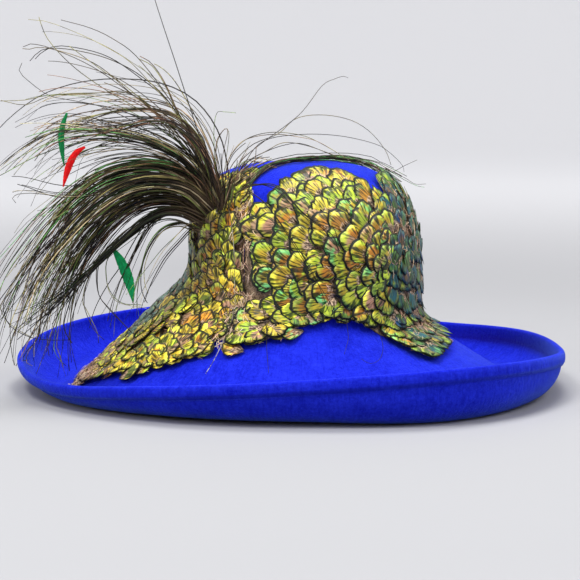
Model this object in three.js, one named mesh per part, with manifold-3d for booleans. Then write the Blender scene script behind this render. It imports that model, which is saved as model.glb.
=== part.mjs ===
// A wide-brimmed felt hat with feather pads on its crown and a plume of long herls.
// Millimetres, +Z up. While it is made, the crown's axis is the vertical through the
// origin and the brim's fold stands on z = 0. Directions are degrees round that axis:
// 0 is the wearer's left (+X), 90 the back (+Y), 180 the right (-X), 270 the front (-Y).
import * as THREE from 'three';
import Module from 'manifold-3d';
import { mergeVertices } from 'three/addons/utils/BufferGeometryUtils.js';

// Felt
const crownWidth = 180;        // outside, side to side at the waist
const crownLength = 208;       // outside, front to back at the waist
const crownTop = 179;          // top of the crown above the surface the brim stands on
const crownSquareness = 3.3;   // power of the crown's rounded section, 2 would be an ellipse
const feltThickness = 2.6;
const waistHeight = 80;        // where the crown's side turns into the brim
const flareRadius = 30;        // of the hollow turn between crown and brim
const foldDistance = 95;       // from the crown's side to the middle of the brim's fold
const foldRadius = 25;         // inside the fold
const foldLift = 6;            // how far the fold rises where the brim waves up
const rimHeight = 34;          // rim above the surface the brim stands on
const wallLean = 92;           // slope of the turned-up wall in degrees, 90 is upright
const hemDepth = 11;           // felt turned out over the rim and sewn down
const hemThickness = 2.4;
const hemStep = 0.8;           // the hem's raw edge, along the wall
const contactDip = 0.3;        // how much of the fold is pressed flat where it stands

// Feather pads
const padThickness = 3;
const padEdge = 1.3;           // thickness at a pad's edge
const padClearance = 0.8;      // between the felt and a pad
const seamClearance = 0.7;     // between two pads

// Plume
const plumeLength = 240;
const lockWidth = 9;
const lockThickness = 4.5;
const rootWidth = 5;           // width of a lock where it leaves the binding
const tipWidth = 1.6;          // width of a lock's free end
const bindingLength = 30;
const bindingWidth = 20;
const bindingThickness = 13;
const bindingDirection = 228;  // where the binding sits on the crown
const bindingStation = 0.75;
const bindingHeading = 128;    // its slope in the front view, from +X towards +Z
const trimClearance = 0.4;     // between the plume, the trims and what they lie on

// Trims
const wispThickness = 3.4;
const wispRise = 1;           // how far the wisp's middle stands off the crown
const upperTipLength = 42;
const upperTipWidth = 5;
const redTipLength = 36;
const redTipWidth = 6;
const lowerTipLength = 42;
const lowerTipWidth = 8;
const tipBladeThickness = 1.2;

// Fineness of the meshes
const feltColumns = 60;
const lockSteps = 12;
const lockRings = 9;
const lockSides = 5;
const tipSteps = 6;

// Felt sections every 30 degrees, as shares of waistHeight, flareRadius, foldDistance,
// foldRadius, foldLift and rimHeight.
const feltSections = [
  { waist: 0.86, flare: 0.90, fold: 0.92, radius: 0.96, lift: 0.00, rim: 0.91 },
  { waist: 0.88, flare: 0.90, fold: 0.97, radius: 0.96, lift: 0.00, rim: 0.88 },
  { waist: 0.91, flare: 0.90, fold: 0.96, radius: 1.00, lift: 0.00, rim: 0.79 },
  { waist: 0.98, flare: 0.93, fold: 0.92, radius: 1.00, lift: 0.50, rim: 1.06 },
  { waist: 1.10, flare: 1.00, fold: 1.00, radius: 1.00, lift: 1.00, rim: 1.20 },
  { waist: 1.24, flare: 1.10, fold: 1.09, radius: 1.08, lift: 1.00, rim: 1.06 },
  { waist: 1.33, flare: 1.20, fold: 1.14, radius: 1.08, lift: 0.00, rim: 0.79 },
  { waist: 1.25, flare: 1.17, fold: 1.09, radius: 1.12, lift: 0.00, rim: 0.59 },
  { waist: 1.10, flare: 1.00, fold: 0.95, radius: 1.04, lift: 0.33, rim: 0.82 },
  { waist: 0.98, flare: 0.93, fold: 0.88, radius: 0.96, lift: 0.33, rim: 1.06 },
  { waist: 0.91, flare: 0.90, fold: 1.07, radius: 0.90, lift: 0.00, rim: 1.24 },
  { waist: 0.88, flare: 0.90, fold: 1.01, radius: 0.92, lift: 0.00, rim: 1.12 },
];

// A pad's edges by direction, in stations: 0 to 1 goes from the crown's top to its waist,
// 1 to 2 round the flare, 2 to 3 down the brim's slope and 3 to 4 round the fold.
const leftPadEdges = [
  { direction: 150, top: 0.80, bottom: 1.90 },
  { direction: 174, top: 0.70, bottom: 2.05 },
  { direction: 183, top: 0.64, bottom: 2.30 },
  { direction: 189, top: 0.60, bottom: 3.05 },
  { direction: 195, top: 0.55, bottom: 3.08 },
  { direction: 210, top: 0.44, bottom: 2.87 },
  { direction: 222, top: 0.34, bottom: 2.74 },
  { direction: 231, top: 0.30, bottom: 2.62 },
  { direction: 237, top: 0.44, bottom: 2.48 },
  { direction: 243, top: 0.58, bottom: 2.38 },
];
const frontPadEdges = [
  { direction: 243, top: 0.66, bottom: 2.38 },
  { direction: 252, top: 0.56, bottom: 2.30 },
  { direction: 261, top: 0.36, bottom: 2.15 },
  { direction: 270, top: 0.28, bottom: 1.95 },
  { direction: 279, top: 0.24, bottom: 1.45 },
  { direction: 288, top: 0.26, bottom: 1.42 },
  { direction: 297, top: 0.30, bottom: 1.70 },
  { direction: 303, top: 0.34, bottom: 2.05 },
  { direction: 309, top: 0.41, bottom: 2.22 },
];
const rightPadEdges = [
  { direction: 309, top: 0.58, bottom: 2.28 },
  { direction: 315, top: 0.54, bottom: 2.38 },
  { direction: 324, top: 0.44, bottom: 2.33 },
  { direction: 333, top: 0.35, bottom: 2.28 },
  { direction: 345, top: 0.32, bottom: 2.21 },
  { direction: 365, top: 0.38, bottom: 2.19 },
  { direction: 384, top: 0.52, bottom: 2.05 },
  { direction: 399, top: 0.70, bottom: 1.80 },
];

// Locks of the plume. heading is the way a lock leaves the binding and turn how far it
// bends over its length, in degrees in the front view; drift is its lean to the front,
// in degrees; length, width and bend are shares, bend 1 being an even curve.
const locks = {
  quill: { heading: 101, turn: 14, drift: 2, length: 0.80, width: 0.30, bend: 1.6 },
  upperBack: { heading: 108, turn: 52, drift: -12, length: 0.88, width: 0.50, bend: 1.2 },
  upperMiddle: { heading: 115, turn: 60, drift: -2, length: 0.90, width: 0.60, bend: 1.2 },
  upperFront: { heading: 105, turn: 75, drift: 7, length: 0.86, width: 0.50, bend: 1.1 },
  upperLow: { heading: 120, turn: 66, drift: 4, length: 0.90, width: 0.70, bend: 1.1 },
  bowBack: { heading: 106, turn: 108, drift: -14, length: 0.87, width: 0.90, bend: 1.0 },
  bowMiddle: { heading: 119, turn: 92, drift: 2, length: 0.88, width: 1.00, bend: 1.0 },
  bowFront: { heading: 130, turn: 80, drift: 12, length: 0.86, width: 0.90, bend: 1.0 },
  archBack: { heading: 125, turn: 126, drift: -22, length: 0.95, width: 1.00, bend: 1.0 },
  archMiddle: { heading: 131, turn: 128, drift: -8, length: 0.98, width: 1.10, bend: 1.0 },
  archNear: { heading: 137, turn: 130, drift: 4, length: 1.00, width: 1.10, bend: 1.0 },
  archFront: { heading: 142, turn: 126, drift: 14, length: 0.98, width: 1.00, bend: 1.0 },
  innerBack: { heading: 147, turn: 128, drift: -16, length: 0.94, width: 1.00, bend: 1.0 },
  innerMiddle: { heading: 152, turn: 124, drift: -3, length: 0.98, width: 1.10, bend: 1.0 },
  innerFront: { heading: 158, turn: 112, drift: 9, length: 0.92, width: 1.00, bend: 0.9 },
  lowBack: { heading: 167, turn: 80, drift: -9, length: 0.90, width: 1.10, bend: 0.8 },
  lowMiddle: { heading: 181, turn: 56, drift: 1, length: 0.88, width: 1.20, bend: 0.7 },
  lowFront: { heading: 176, turn: 72, drift: 7, length: 0.82, width: 0.90, bend: 0.8 },
  fallBack: { heading: 140, turn: 152, drift: -20, length: 0.86, width: 0.70, bend: 0.9 },
  fallMiddle: { heading: 149, turn: 142, drift: -2, length: 0.86, width: 0.70, bend: 0.9 },
  fallFront: { heading: 156, turn: 132, drift: 15, length: 0.84, width: 0.70, bend: 0.9 },
};

// The wisp's course over the crown, seen from above, as shares of the crown's half sizes.
const wispCourse = [
  { across: -0.50, along: -0.64 },
  { across: -0.33, along: -0.46 },
  { across: -0.14, along: -0.24 },
  { across: 0.08, along: -0.04 },
  { across: 0.32, along: 0.06 },
  { across: 0.58, along: 0.10 },
  { across: 0.78, along: 0.08 },
];

const felt = new THREE.MeshStandardMaterial({ color: 0x1f2fd0, roughness: 0.92, metalness: 0 });
const olive = new THREE.MeshStandardMaterial({ color: 0x8a8630, roughness: 0.55, metalness: 0.1 });
const gold = new THREE.MeshStandardMaterial({ color: 0x9aa03c, roughness: 0.5, metalness: 0.1 });
const teal = new THREE.MeshStandardMaterial({ color: 0x2f5a50, roughness: 0.5, metalness: 0.1 });
const herl = new THREE.MeshStandardMaterial({ color: 0x2b2a1e, roughness: 0.7, metalness: 0 });
const green = new THREE.MeshStandardMaterial({ color: 0x0f8a4c, roughness: 0.6, metalness: 0 });
const red = new THREE.MeshStandardMaterial({ color: 0xd0202c, roughness: 0.6, metalness: 0 });

// Coloured feather tips: the lock that carries each and where along it, then the way the
// tip leaves it and how far it bends, in degrees in the front view.
const tips = {
  green_feather_tip_upper: {
    lock: 'bowMiddle', share: 0.66, length: upperTipLength, width: upperTipWidth,
    heading: 252, turn: 28, material: green,
  },
  red_feather_tip: {
    lock: 'bowFront', share: 0.55, length: redTipLength, width: redTipWidth,
    heading: 218, turn: 40, material: red,
  },
  green_feather_tip_lower: {
    lock: 'lowFront', share: 0.42, length: lowerTipLength, width: lowerTipWidth,
    heading: 300, turn: -12, material: green,
  },
};

const radians = (degrees) => THREE.MathUtils.degToRad(degrees);

// A smooth closed curve through the rows of feltSections, column by column.
function between(direction, column) {
  const count = feltSections.length;
  const place = (((direction % 360) + 360) % 360) / (360 / count);
  const first = Math.floor(place);
  const share = place - first;
  const row = (step) => feltSections[(first + step + count) % count][column];
  const [a, b, c, d] = [row(-1), row(0), row(1), row(2)];
  const bend = 2 * a - 5 * b + 4 * c - d;
  const twist = 3 * b - a - 3 * c + d;
  return 0.5 * (2 * b + (c - a) * share + bend * share ** 2 + twist * share ** 3);
}

// A value read off a table of rows by direction, straight between the rows.
function edgeAt(rows, direction, column) {
  const next = Math.max(1, rows.findIndex((row) => row.direction >= direction));
  const [low, high] = [rows[next - 1], rows[next]];
  const share = (direction - low.direction) / (high.direction - low.direction);
  return low[column] + (high[column] - low[column]) * share;
}

// Distance from the axis to the crown's outside at the waist.
function crownReach(direction) {
  const across = Math.cos(radians(direction)) / (crownWidth / 2);
  const along = Math.sin(radians(direction)) / (crownLength / 2);
  return 1 / Math.hypot(across, along);
}

// The felt's section in one direction. The flare and the fold are two circles, and the
// slope between them is the straight line that touches both.
function section(direction) {
  const crown = crownReach(direction);
  const waist = waistHeight * between(direction, 'waist');
  const flare = flareRadius * between(direction, 'flare');
  const radius = foldRadius * between(direction, 'radius');
  const lift = foldLift * Math.max(0, between(direction, 'lift'));
  const rim = rimHeight * between(direction, 'rim');
  const flareAt = new THREE.Vector2(crown + flare, waist);
  const bottom = lift + feltThickness - contactDip;
  const foldAt = new THREE.Vector2(crown + foldDistance * between(direction, 'fold'), bottom + radius);
  const run = foldAt.clone().sub(flareAt);
  const slope = Math.asin((radius - flare) / run.length()) - run.angle();
  const slopeTurn = Math.atan2(Math.sin(slope), Math.cos(slope));
  const level = THREE.MathUtils.clamp((foldAt.y - rim) / radius, -1, 1);
  const wallTurn = Math.min(radians(wallLean), Math.acos(level));
  const wall = Math.max(0, (rim - foldAt.y + radius * Math.cos(wallTurn)) / Math.sin(wallTurn));
  return { crown, waist, lift, flare, flareAt, radius, foldAt, slopeTurn, wallTurn, wall };
}

const around = (direction, reach, height) => new THREE.Vector3(
  reach * Math.cos(radians(direction)), reach * Math.sin(radians(direction)), height);

// A point of the section's fold circle: turn is 0 at its bottom and grows outwards.
function onFold(s, turn, proud) {
  const radius = s.radius - proud;
  return new THREE.Vector2(s.foldAt.x + radius * Math.sin(turn), s.foldAt.y - radius * Math.cos(turn));
}

// A point of the felt's outside, as reach and height. proud lifts it off the felt, and
// minus the felt's thickness gives the inside.
function profile(s, station, proud) {
  if (station <= 1) {
    const turn = station * Math.PI / 2;
    const power = 2 / crownSquareness;
    const reach = (s.crown + proud) * Math.sin(turn) ** power;
    const rise = (crownTop - s.waist + proud) * Math.max(0, Math.cos(turn)) ** power;
    return new THREE.Vector2(reach, s.waist + rise);
  }
  const flarePoint = (turn) => {
    const radius = s.flare - proud;
    return new THREE.Vector2(s.flareAt.x - radius * Math.cos(turn), s.flareAt.y - radius * Math.sin(turn));
  };
  const flareEnd = Math.PI / 2 - s.slopeTurn;
  if (station <= 2) return flarePoint((station - 1) * flareEnd);
  if (station <= 3) return flarePoint(flareEnd).lerp(onFold(s, -s.slopeTurn, proud), station - 2);
  return onFold(s, -s.slopeTurn + (station - 3) * (s.slopeTurn + s.wallTurn), proud);
}

const feltPoint = (direction, station, proud) => {
  const spot = profile(section(direction), station, proud);
  return around(direction, spot.x, spot.y);
};

// A closed mesh over rings of equal count, with both ends closed by a fan.
function ringSolid(rings) {
  const count = rings[0].length;
  const points = rings.flat();
  const faces = [];
  for (let ring = 0; ring < rings.length - 1; ring += 1) {
    for (let side = 0; side < count; side += 1) {
      const a = ring * count + side;
      const b = ring * count + (side + 1) % count;
      faces.push(a, b, b + count, a, b + count, a + count);
    }
  }
  const last = (rings.length - 1) * count;
  for (let side = 1; side < count - 1; side += 1) {
    faces.push(0, side + 1, side, last, last + side, last + side + 1);
  }
  return meshGeometry(points, faces);
}

// Merges what coincides, so that a ring drawn together in one point closes, and drops
// the faces that this leaves without area.
function meshGeometry(points, faces) {
  const loose = new THREE.BufferGeometry().setFromPoints(points);
  loose.setIndex(faces);
  const merged = mergeVertices(loose, 1e-4);
  const old = merged.getIndex().array;
  const kept = [];
  for (let corner = 0; corner < old.length; corner += 3) {
    const [a, b, c] = old.slice(corner, corner + 3);
    if (a !== b && b !== c && c !== a) kept.push(a, b, c);
  }
  merged.setIndex(kept);
  return merged;
}

// Crown and brim, one piece of felt: the outside from the top to the rim, over the rim
// into the hem, and the inside back to the top.
function feltBody() {
  const crownStations = [0, 0.14, 0.28, 0.4, 0.5, 0.6, 0.7, 0.8, 0.9, 1];
  const outsideStations = [...crownStations, 1.25, 1.5, 1.75, 2, 2.5, 3];
  const foldShares = [1 / 6, 2 / 6, 3 / 6, 4 / 6, 5 / 6];
  const rimTurns = [0, 40, 90, 140, 180];
  const rings = [];
  const half = (feltThickness + hemThickness) / 2;
  for (let column = 0; column < feltColumns; column += 1) {
    const direction = column * 360 / feltColumns;
    const s = section(direction);
    const line = outsideStations.map((station) => profile(s, station, 0));
    line.push(...foldShares.map((share) => profile(s, 3 + share, 0)));
    const up = new THREE.Vector2(Math.cos(s.wallTurn), Math.sin(s.wallTurn));
    const out = new THREE.Vector2(up.y, -up.x);
    // A point of the turned-up wall, down from the rim along the felt.
    const wallPoint = (down, proud) => {
      if (down < s.wall) return onFold(s, s.wallTurn, proud).addScaledVector(up, s.wall - down);
      return onFold(s, s.wallTurn - (down - s.wall) / (s.radius + feltThickness), proud);
    };
    const inner = wallPoint(half, 0);
    for (const turn of rimTurns) {
      const arc = inner.clone().addScaledVector(out, half * (1 - Math.cos(radians(turn))));
      line.push(arc.addScaledVector(up, half * Math.sin(radians(turn))));
    }
    const hemOut = -feltThickness - hemThickness;
    line.push(wallPoint(hemDepth * 0.55, hemOut));
    line.push(wallPoint(hemDepth, hemOut));
    line.push(wallPoint(hemDepth + hemStep, -feltThickness));
    // The fold's outside, pressed flat where it stands.
    const outerRadius = s.radius + feltThickness;
    const flat = Math.acos(1 - contactDip / outerRadius);
    const hemEnd = s.wallTurn - (hemDepth + hemStep - Math.min(s.wall, hemDepth)) / outerRadius;
    const foldTurns = [hemEnd * 0.66 + flat * 0.34, hemEnd * 0.33 + flat * 0.67, flat, -flat];
    foldTurns.push(-flat * 0.5 - s.slopeTurn * 0.5);
    line.push(...foldTurns.map((turn) => onFold(s, turn, -feltThickness)));
    line.push(...[3, 2.5, 2, 1.67, 1.33].map((station) => profile(s, station, -feltThickness)));
    line.push(...[...crownStations].reverse().map((station) => profile(s, station, -feltThickness)));
    rings.push(line.map((spot) => around(direction, spot.x, spot.y)));
  }
  const columns = rings.length;
  const count = rings[0].length;
  const faces = [];
  for (let column = 0; column < columns; column += 1) {
    for (let row = 0; row < count - 1; row += 1) {
      const a = column * count + row;
      const b = ((column + 1) % columns) * count + row;
      faces.push(a, a + 1, b + 1, a, b + 1, b);
    }
  }
  return meshGeometry(rings.flat(), faces);
}

// A pad of overlapping feathers as one shell that follows the felt, thinner at its edge.
// Its rows run along the felt's stations, and past the pad's edge they draw together.
function featherPad(edges, columns) {
  const stations = [0.2, 0.28, 0.36, 0.44, 0.52, 0.6, 0.68, 0.76, 0.84, 0.92, 1];
  stations.push(1.25, 1.5, 1.75, 2, 2.25, 2.5, 2.75, 3, 3.1);
  const rows = stations.length - 1;
  const [from, to] = [edges[0].direction, edges.at(-1).direction];
  const trim = THREE.MathUtils.radToDeg(seamClearance / crownWidth);
  const points = [];
  for (const layer of ['under', 'over']) {
    for (let column = 0; column <= columns; column += 1) {
      const direction = from + trim + (to - from - 2 * trim) * column / columns;
      const top = edgeAt(edges, direction, 'top');
      const bottom = edgeAt(edges, direction, 'bottom');
      for (const station of stations) {
        const atSide = column === 0 || column === columns;
        const atEdge = atSide || station <= top || station >= bottom;
        const thickness = atEdge ? padEdge : padThickness;
        const proud = padClearance + (layer === 'over' ? thickness : 0);
        points.push(feltPoint(direction, THREE.MathUtils.clamp(station, top, bottom), proud));
      }
    }
  }
  const count = rows + 1;
  const upper = (columns + 1) * count;
  const faces = [];
  for (let column = 0; column < columns; column += 1) {
    for (let row = 0; row < rows; row += 1) {
      const a = column * count + row;
      const b = a + count;
      faces.push(a, b + 1, a + 1, a, b, b + 1);
      faces.push(upper + a, upper + a + 1, upper + b + 1, upper + a, upper + b + 1, upper + b);
    }
  }
  const side = (a, b) => faces.push(a, b, upper + b, a, upper + b, upper + a);
  for (let row = 0; row < rows; row += 1) {
    side(row, row + 1);
    side(columns * count + row + 1, columns * count + row);
  }
  for (let column = 0; column < columns; column += 1) {
    side((column + 1) * count, column * count);
    side(column * count + rows, (column + 1) * count + rows);
  }
  return meshGeometry(points, faces);
}

// The outward normal of the felt at a place, from two short steps along it.
function feltNormal(direction, station) {
  const step = 0.01;
  const here = feltPoint(direction, station, 0);
  const down = feltPoint(direction, station + step, 0).sub(here);
  const round = feltPoint(direction + step, station, 0).sub(here);
  return down.cross(round).normalize();
}

// Where the plume is bound: on the left pad, clear of it by trimClearance.
function bindingCentre() {
  const height = padClearance + padThickness + trimClearance + bindingThickness / 2;
  return feltPoint(bindingDirection, bindingStation, 0)
    .addScaledVector(feltNormal(bindingDirection, bindingStation), height);
}

// A lock's course: its heading turns from start to end while it drifts to the front.
function lockCourse(lock, steps) {
  const points = [bindingCentre()];
  const step = plumeLength * lock.length / steps;
  for (let index = 0; index < steps; index += 1) {
    const share = (index + 0.5) / steps;
    const heading = radians(lock.heading + lock.turn * share ** lock.bend);
    const drift = radians(lock.drift);
    const way = new THREE.Vector3(
      Math.cos(heading) * Math.cos(drift), -Math.sin(drift), Math.sin(heading) * Math.cos(drift));
    points.push(points.at(-1).clone().addScaledVector(way, step));
  }
  return new THREE.CatmullRomCurve3(points);
}

// A strip along a curve with an oval section; widthAt and thickAt give its size by share.
function strip(curve, rings, sides, widthAt, thickAt, flatWay) {
  const list = [];
  for (let ring = 0; ring <= rings; ring += 1) {
    const share = ring / rings;
    const spot = curve.getPointAt(share);
    const along = curve.getTangentAt(share);
    const thick = flatWay.clone().addScaledVector(along, -flatWay.dot(along)).normalize();
    const wide = thick.clone().cross(along);
    const loop = [];
    for (let side = 0; side < sides; side += 1) {
      const turn = 2 * Math.PI * side / sides;
      loop.push(spot.clone()
        .addScaledVector(wide, 0.5 * widthAt(share) * Math.cos(turn))
        .addScaledVector(thick, 0.5 * thickAt(share) * Math.sin(turn)));
    }
    list.push(loop);
  }
  return ringSolid(list);
}

const viewWay = new THREE.Vector3(0, -1, 0);

// Narrow at the binding, widest before the middle and tapering to the free end.
function belly(share, root, full, tip) {
  const middle = 0.4;
  if (share < middle) return root + (full - root) * Math.sin(share / middle * Math.PI / 2);
  return tip + (full - tip) * Math.cos((share - middle) / (1 - middle) * Math.PI / 2);
}

function lockThicknessAt(lock, share) {
  const full = lockThickness * Math.sqrt(lock.width);
  return belly(share, full * 0.8, full, Math.min(tipWidth, full));
}

function lockGeometry(lock) {
  const full = lockWidth * lock.width;
  const widthAt = (share) => belly(share, Math.min(rootWidth, full), full, Math.min(tipWidth, full));
  const thickAt = (share) => lockThicknessAt(lock, share);
  return strip(lockCourse(lock, lockSteps), lockRings, lockSides, widthAt, thickAt, viewWay);
}

function bindingGeometry() {
  const ball = new THREE.SphereGeometry(0.5, 12, 8);
  ball.deleteAttribute('normal');
  ball.deleteAttribute('uv');
  const normal = feltNormal(bindingDirection, bindingStation);
  const heading = radians(bindingHeading);
  const along = new THREE.Vector3(Math.cos(heading), 0, Math.sin(heading));
  along.addScaledVector(normal, -along.dot(normal)).normalize();
  const across = normal.clone().cross(along);
  const place = new THREE.Matrix4().makeBasis(along, across, normal).setPosition(bindingCentre());
  ball.scale(bindingLength, bindingWidth, bindingThickness);
  ball.applyMatrix4(place);
  return mergeVertices(ball, 1e-4);
}

const wasm = await Module();
wasm.setup();

function solidOf(geometry) {
  return new wasm.Manifold(new wasm.Mesh({
    numProp: 3,
    vertProperties: new Float32Array(geometry.getAttribute('position').array),
    triVerts: new Uint32Array(geometry.getIndex().array),
  }));
}

function geometryOf(solid) {
  const mesh = solid.getMesh();
  const geometry = new THREE.BufferGeometry();
  geometry.setAttribute('position', new THREE.BufferAttribute(mesh.vertProperties, 3));
  geometry.setIndex(new THREE.BufferAttribute(mesh.triVerts, 1));
  return geometry;
}

// Binding and locks, fused.
function plume() {
  let whole = solidOf(bindingGeometry());
  for (const lock of Object.values(locks)) whole = whole.add(solidOf(lockGeometry(lock)));
  return geometryOf(whole);
}

// The dark bundle that lies over the crown.
function crownWisp() {
  const lift = trimClearance + wispThickness / 2;
  const points = wispCourse.map(({ across, along }, index) => {
    const spot = new THREE.Vector2(across * crownWidth / 2, along * crownLength / 2);
    const direction = THREE.MathUtils.radToDeg(spot.angle());
    const share = Math.min(1, spot.length() / crownReach(direction));
    const station = Math.asin(share ** (crownSquareness / 2)) / (Math.PI / 2);
    const cover = (padClearance + padThickness) * THREE.MathUtils.smoothstep(station, 0, 0.1);
    const rise = wispRise * Math.sin(Math.PI * index / (wispCourse.length - 1));
    return feltPoint(direction, station, lift + cover + rise);
  });
  const thickAt = (share) => wispThickness * (0.35 + 0.65 * Math.sin(Math.PI * share) ** 0.5);
  return strip(new THREE.CatmullRomCurve3(points), 22, 6, thickAt, thickAt, new THREE.Vector3(0, 0, 1));
}

// A coloured feather tip that lies against the front of a lock and leaves it at a slant.
function featherTip({ lock, share, length, width, heading, turn }) {
  const off = lockThicknessAt(locks[lock], share) / 2 + trimClearance + tipBladeThickness / 2;
  const points = [lockCourse(locks[lock], lockSteps).getPointAt(share).addScaledVector(viewWay, off)];
  for (let index = 0; index < tipSteps; index += 1) {
    const way = radians(heading + turn * (index + 0.5) / tipSteps);
    const move = new THREE.Vector3(Math.cos(way), 0, Math.sin(way));
    points.push(points.at(-1).clone().addScaledVector(move, length / tipSteps));
  }
  const widthAt = (part) => width * Math.sin(Math.PI * (0.1 + 0.86 * part));
  return strip(new THREE.CatmullRomCurve3(points), 8, 6, widthAt, () => tipBladeThickness, viewWay);
}

const group = new THREE.Group();

function addPiece(name, geometry, material) {
  const mesh = new THREE.Mesh(geometry, material);
  mesh.name = name;
  group.add(mesh);
}

addPiece('felt_body', feltBody(), felt);
addPiece('left_feather_pad', featherPad(leftPadEdges, 16), olive);
addPiece('front_feather_pad', featherPad(frontPadEdges, 11), gold);
addPiece('right_feather_pad', featherPad(rightPadEdges, 15), teal);
addPiece('plume', plume(), herl);
addPiece('crown_wisp', crownWisp(), herl);
for (const [name, tip] of Object.entries(tips)) addPiece(name, featherTip(tip), tip.material);

// Stood with the middle of its box over the origin.
const box = new THREE.Box3().setFromObject(group);
const middle = box.getCenter(new THREE.Vector3());
group.position.set(-middle.x, -middle.y, -box.min.z);

export default group;
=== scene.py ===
import math
import bpy
import numpy as np
from mathutils import Matrix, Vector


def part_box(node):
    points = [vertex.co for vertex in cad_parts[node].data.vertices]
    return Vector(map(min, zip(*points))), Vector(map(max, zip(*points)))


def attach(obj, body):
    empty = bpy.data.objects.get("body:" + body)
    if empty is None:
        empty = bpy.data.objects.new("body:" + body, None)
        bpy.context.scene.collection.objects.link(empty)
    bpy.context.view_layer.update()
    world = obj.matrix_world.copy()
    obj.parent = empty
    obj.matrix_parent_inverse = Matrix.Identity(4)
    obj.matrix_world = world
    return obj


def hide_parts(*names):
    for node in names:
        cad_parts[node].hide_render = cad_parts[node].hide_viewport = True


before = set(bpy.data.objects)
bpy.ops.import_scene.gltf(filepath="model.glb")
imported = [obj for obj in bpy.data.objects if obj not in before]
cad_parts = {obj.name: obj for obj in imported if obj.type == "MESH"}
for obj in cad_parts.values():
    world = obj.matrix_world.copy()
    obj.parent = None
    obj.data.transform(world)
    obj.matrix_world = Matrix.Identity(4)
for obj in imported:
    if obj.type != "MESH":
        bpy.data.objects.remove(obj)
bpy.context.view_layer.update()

chance = np.random.default_rng(41)
bpy.context.scene.view_settings.view_transform = "Standard"

# The felt's sizes in metres. Directions are degrees round the crown's axis: 0 is +X, 90 the
# back, 270 the front. Stations run down the felt: 0 to 1 the crown, 1 to 2 the flare, 2 to 3
# the brim's slope, 3 to 4 the fold.
hat = {
    "crownWidth": 0.180, "crownLength": 0.208, "crownTop": 0.179, "squareness": 3.3,
    "felt": 0.0026, "waistHeight": 0.080, "flareRadius": 0.030, "foldDistance": 0.095,
    "foldRadius": 0.025, "foldLift": 0.006, "rimHeight": 0.034, "wallLean": math.radians(92),
    "hemDepth": 0.011, "hemFelt": 0.0024, "hemStep": 0.0008, "hemPlump": 0.0004, "contactDip": 0.0003,
}
# Rows of points down one line of the felt.
feltRows = {"crown": 30, "flare": 10, "slope": 12, "fold": 18, "rim": 11, "underHem": 13, "foot": 8}
# One row every 30 degrees: shares of waistHeight, flareRadius, foldDistance, foldRadius,
# foldLift and rimHeight.
sectionNames = ["waist", "flare", "fold", "radius", "lift", "rim"]
sectionRows = np.array([
    (0.86, 0.90, 0.92, 0.96, 0.00, 0.91),
    (0.88, 0.90, 0.97, 0.96, 0.00, 0.88),
    (0.91, 0.90, 0.96, 1.00, 0.00, 0.79),
    (0.98, 0.93, 0.92, 1.00, 0.50, 1.06),
    (1.10, 1.00, 1.00, 1.00, 1.00, 1.20),
    (1.24, 1.10, 1.09, 1.08, 1.00, 1.06),
    (1.33, 1.20, 1.14, 1.08, 0.00, 0.79),
    (1.25, 1.17, 1.09, 1.12, 0.00, 0.59),
    (1.10, 1.00, 0.95, 1.04, 0.33, 0.82),
    (0.98, 0.93, 0.88, 0.96, 0.33, 1.06),
    (0.91, 0.90, 1.07, 0.90, 0.00, 1.24),
    (0.88, 0.90, 1.01, 0.92, 0.00, 1.12),
])


def cubic(a, b, c, d, t):
    # from b to c as t goes from 0 to 1; the slope at each is half the difference of its neighbours
    return 0.5 * (2 * b + (c - a) * t + (2 * a - 5 * b + 4 * c - d) * t**2 + (3 * b - a - 3 * c + d) * t**3)


def between(direction, name):
    # one of the named shares in any direction: a smooth closed curve through the rows
    count = len(sectionRows)
    place = (np.asarray(direction, float) % 360) / (360 / count)
    first = np.floor(place).astype(int)
    column = sectionRows[:, sectionNames.index(name)]
    return cubic(*[column[(first + k) % count] for k in (-1, 0, 1, 2)], place - first)


def section(direction):
    # two circles, the flare and the fold, and the straight line that touches both
    turn = np.radians(direction)
    crown = 1 / np.hypot(np.cos(turn) / (hat["crownWidth"] / 2), np.sin(turn) / (hat["crownLength"] / 2))
    waist = hat["waistHeight"] * between(direction, "waist")
    flare = hat["flareRadius"] * between(direction, "flare")
    radius = hat["foldRadius"] * between(direction, "radius")
    lift = hat["foldLift"] * np.maximum(0, between(direction, "lift"))
    rim = hat["rimHeight"] * between(direction, "rim")
    foldX = crown + hat["foldDistance"] * between(direction, "fold")
    foldZ = lift + hat["felt"] - hat["contactDip"] + radius
    runX, runZ = foldX - crown - flare, foldZ - waist
    slope = np.arcsin((radius - flare) / np.hypot(runX, runZ)) - np.arctan2(runZ, runX)
    wallTurn = np.minimum(hat["wallLean"], np.arccos(np.clip((foldZ - rim) / radius, -1, 1)))
    wall = np.maximum(0, (rim - foldZ + radius * np.cos(wallTurn)) / np.sin(wallTurn))
    return {"crown": crown, "waist": waist, "flare": flare, "radius": radius, "foldX": foldX,
            "foldZ": foldZ, "slope": slope, "wallTurn": wallTurn, "wall": wall}


def onFold(s, turn, proud):
    # the fold's circle, turn 0 at its bottom and growing outwards
    radius = s["radius"] - proud
    return s["foldX"] + radius * np.sin(turn), s["foldZ"] - radius * np.cos(turn)


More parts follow.
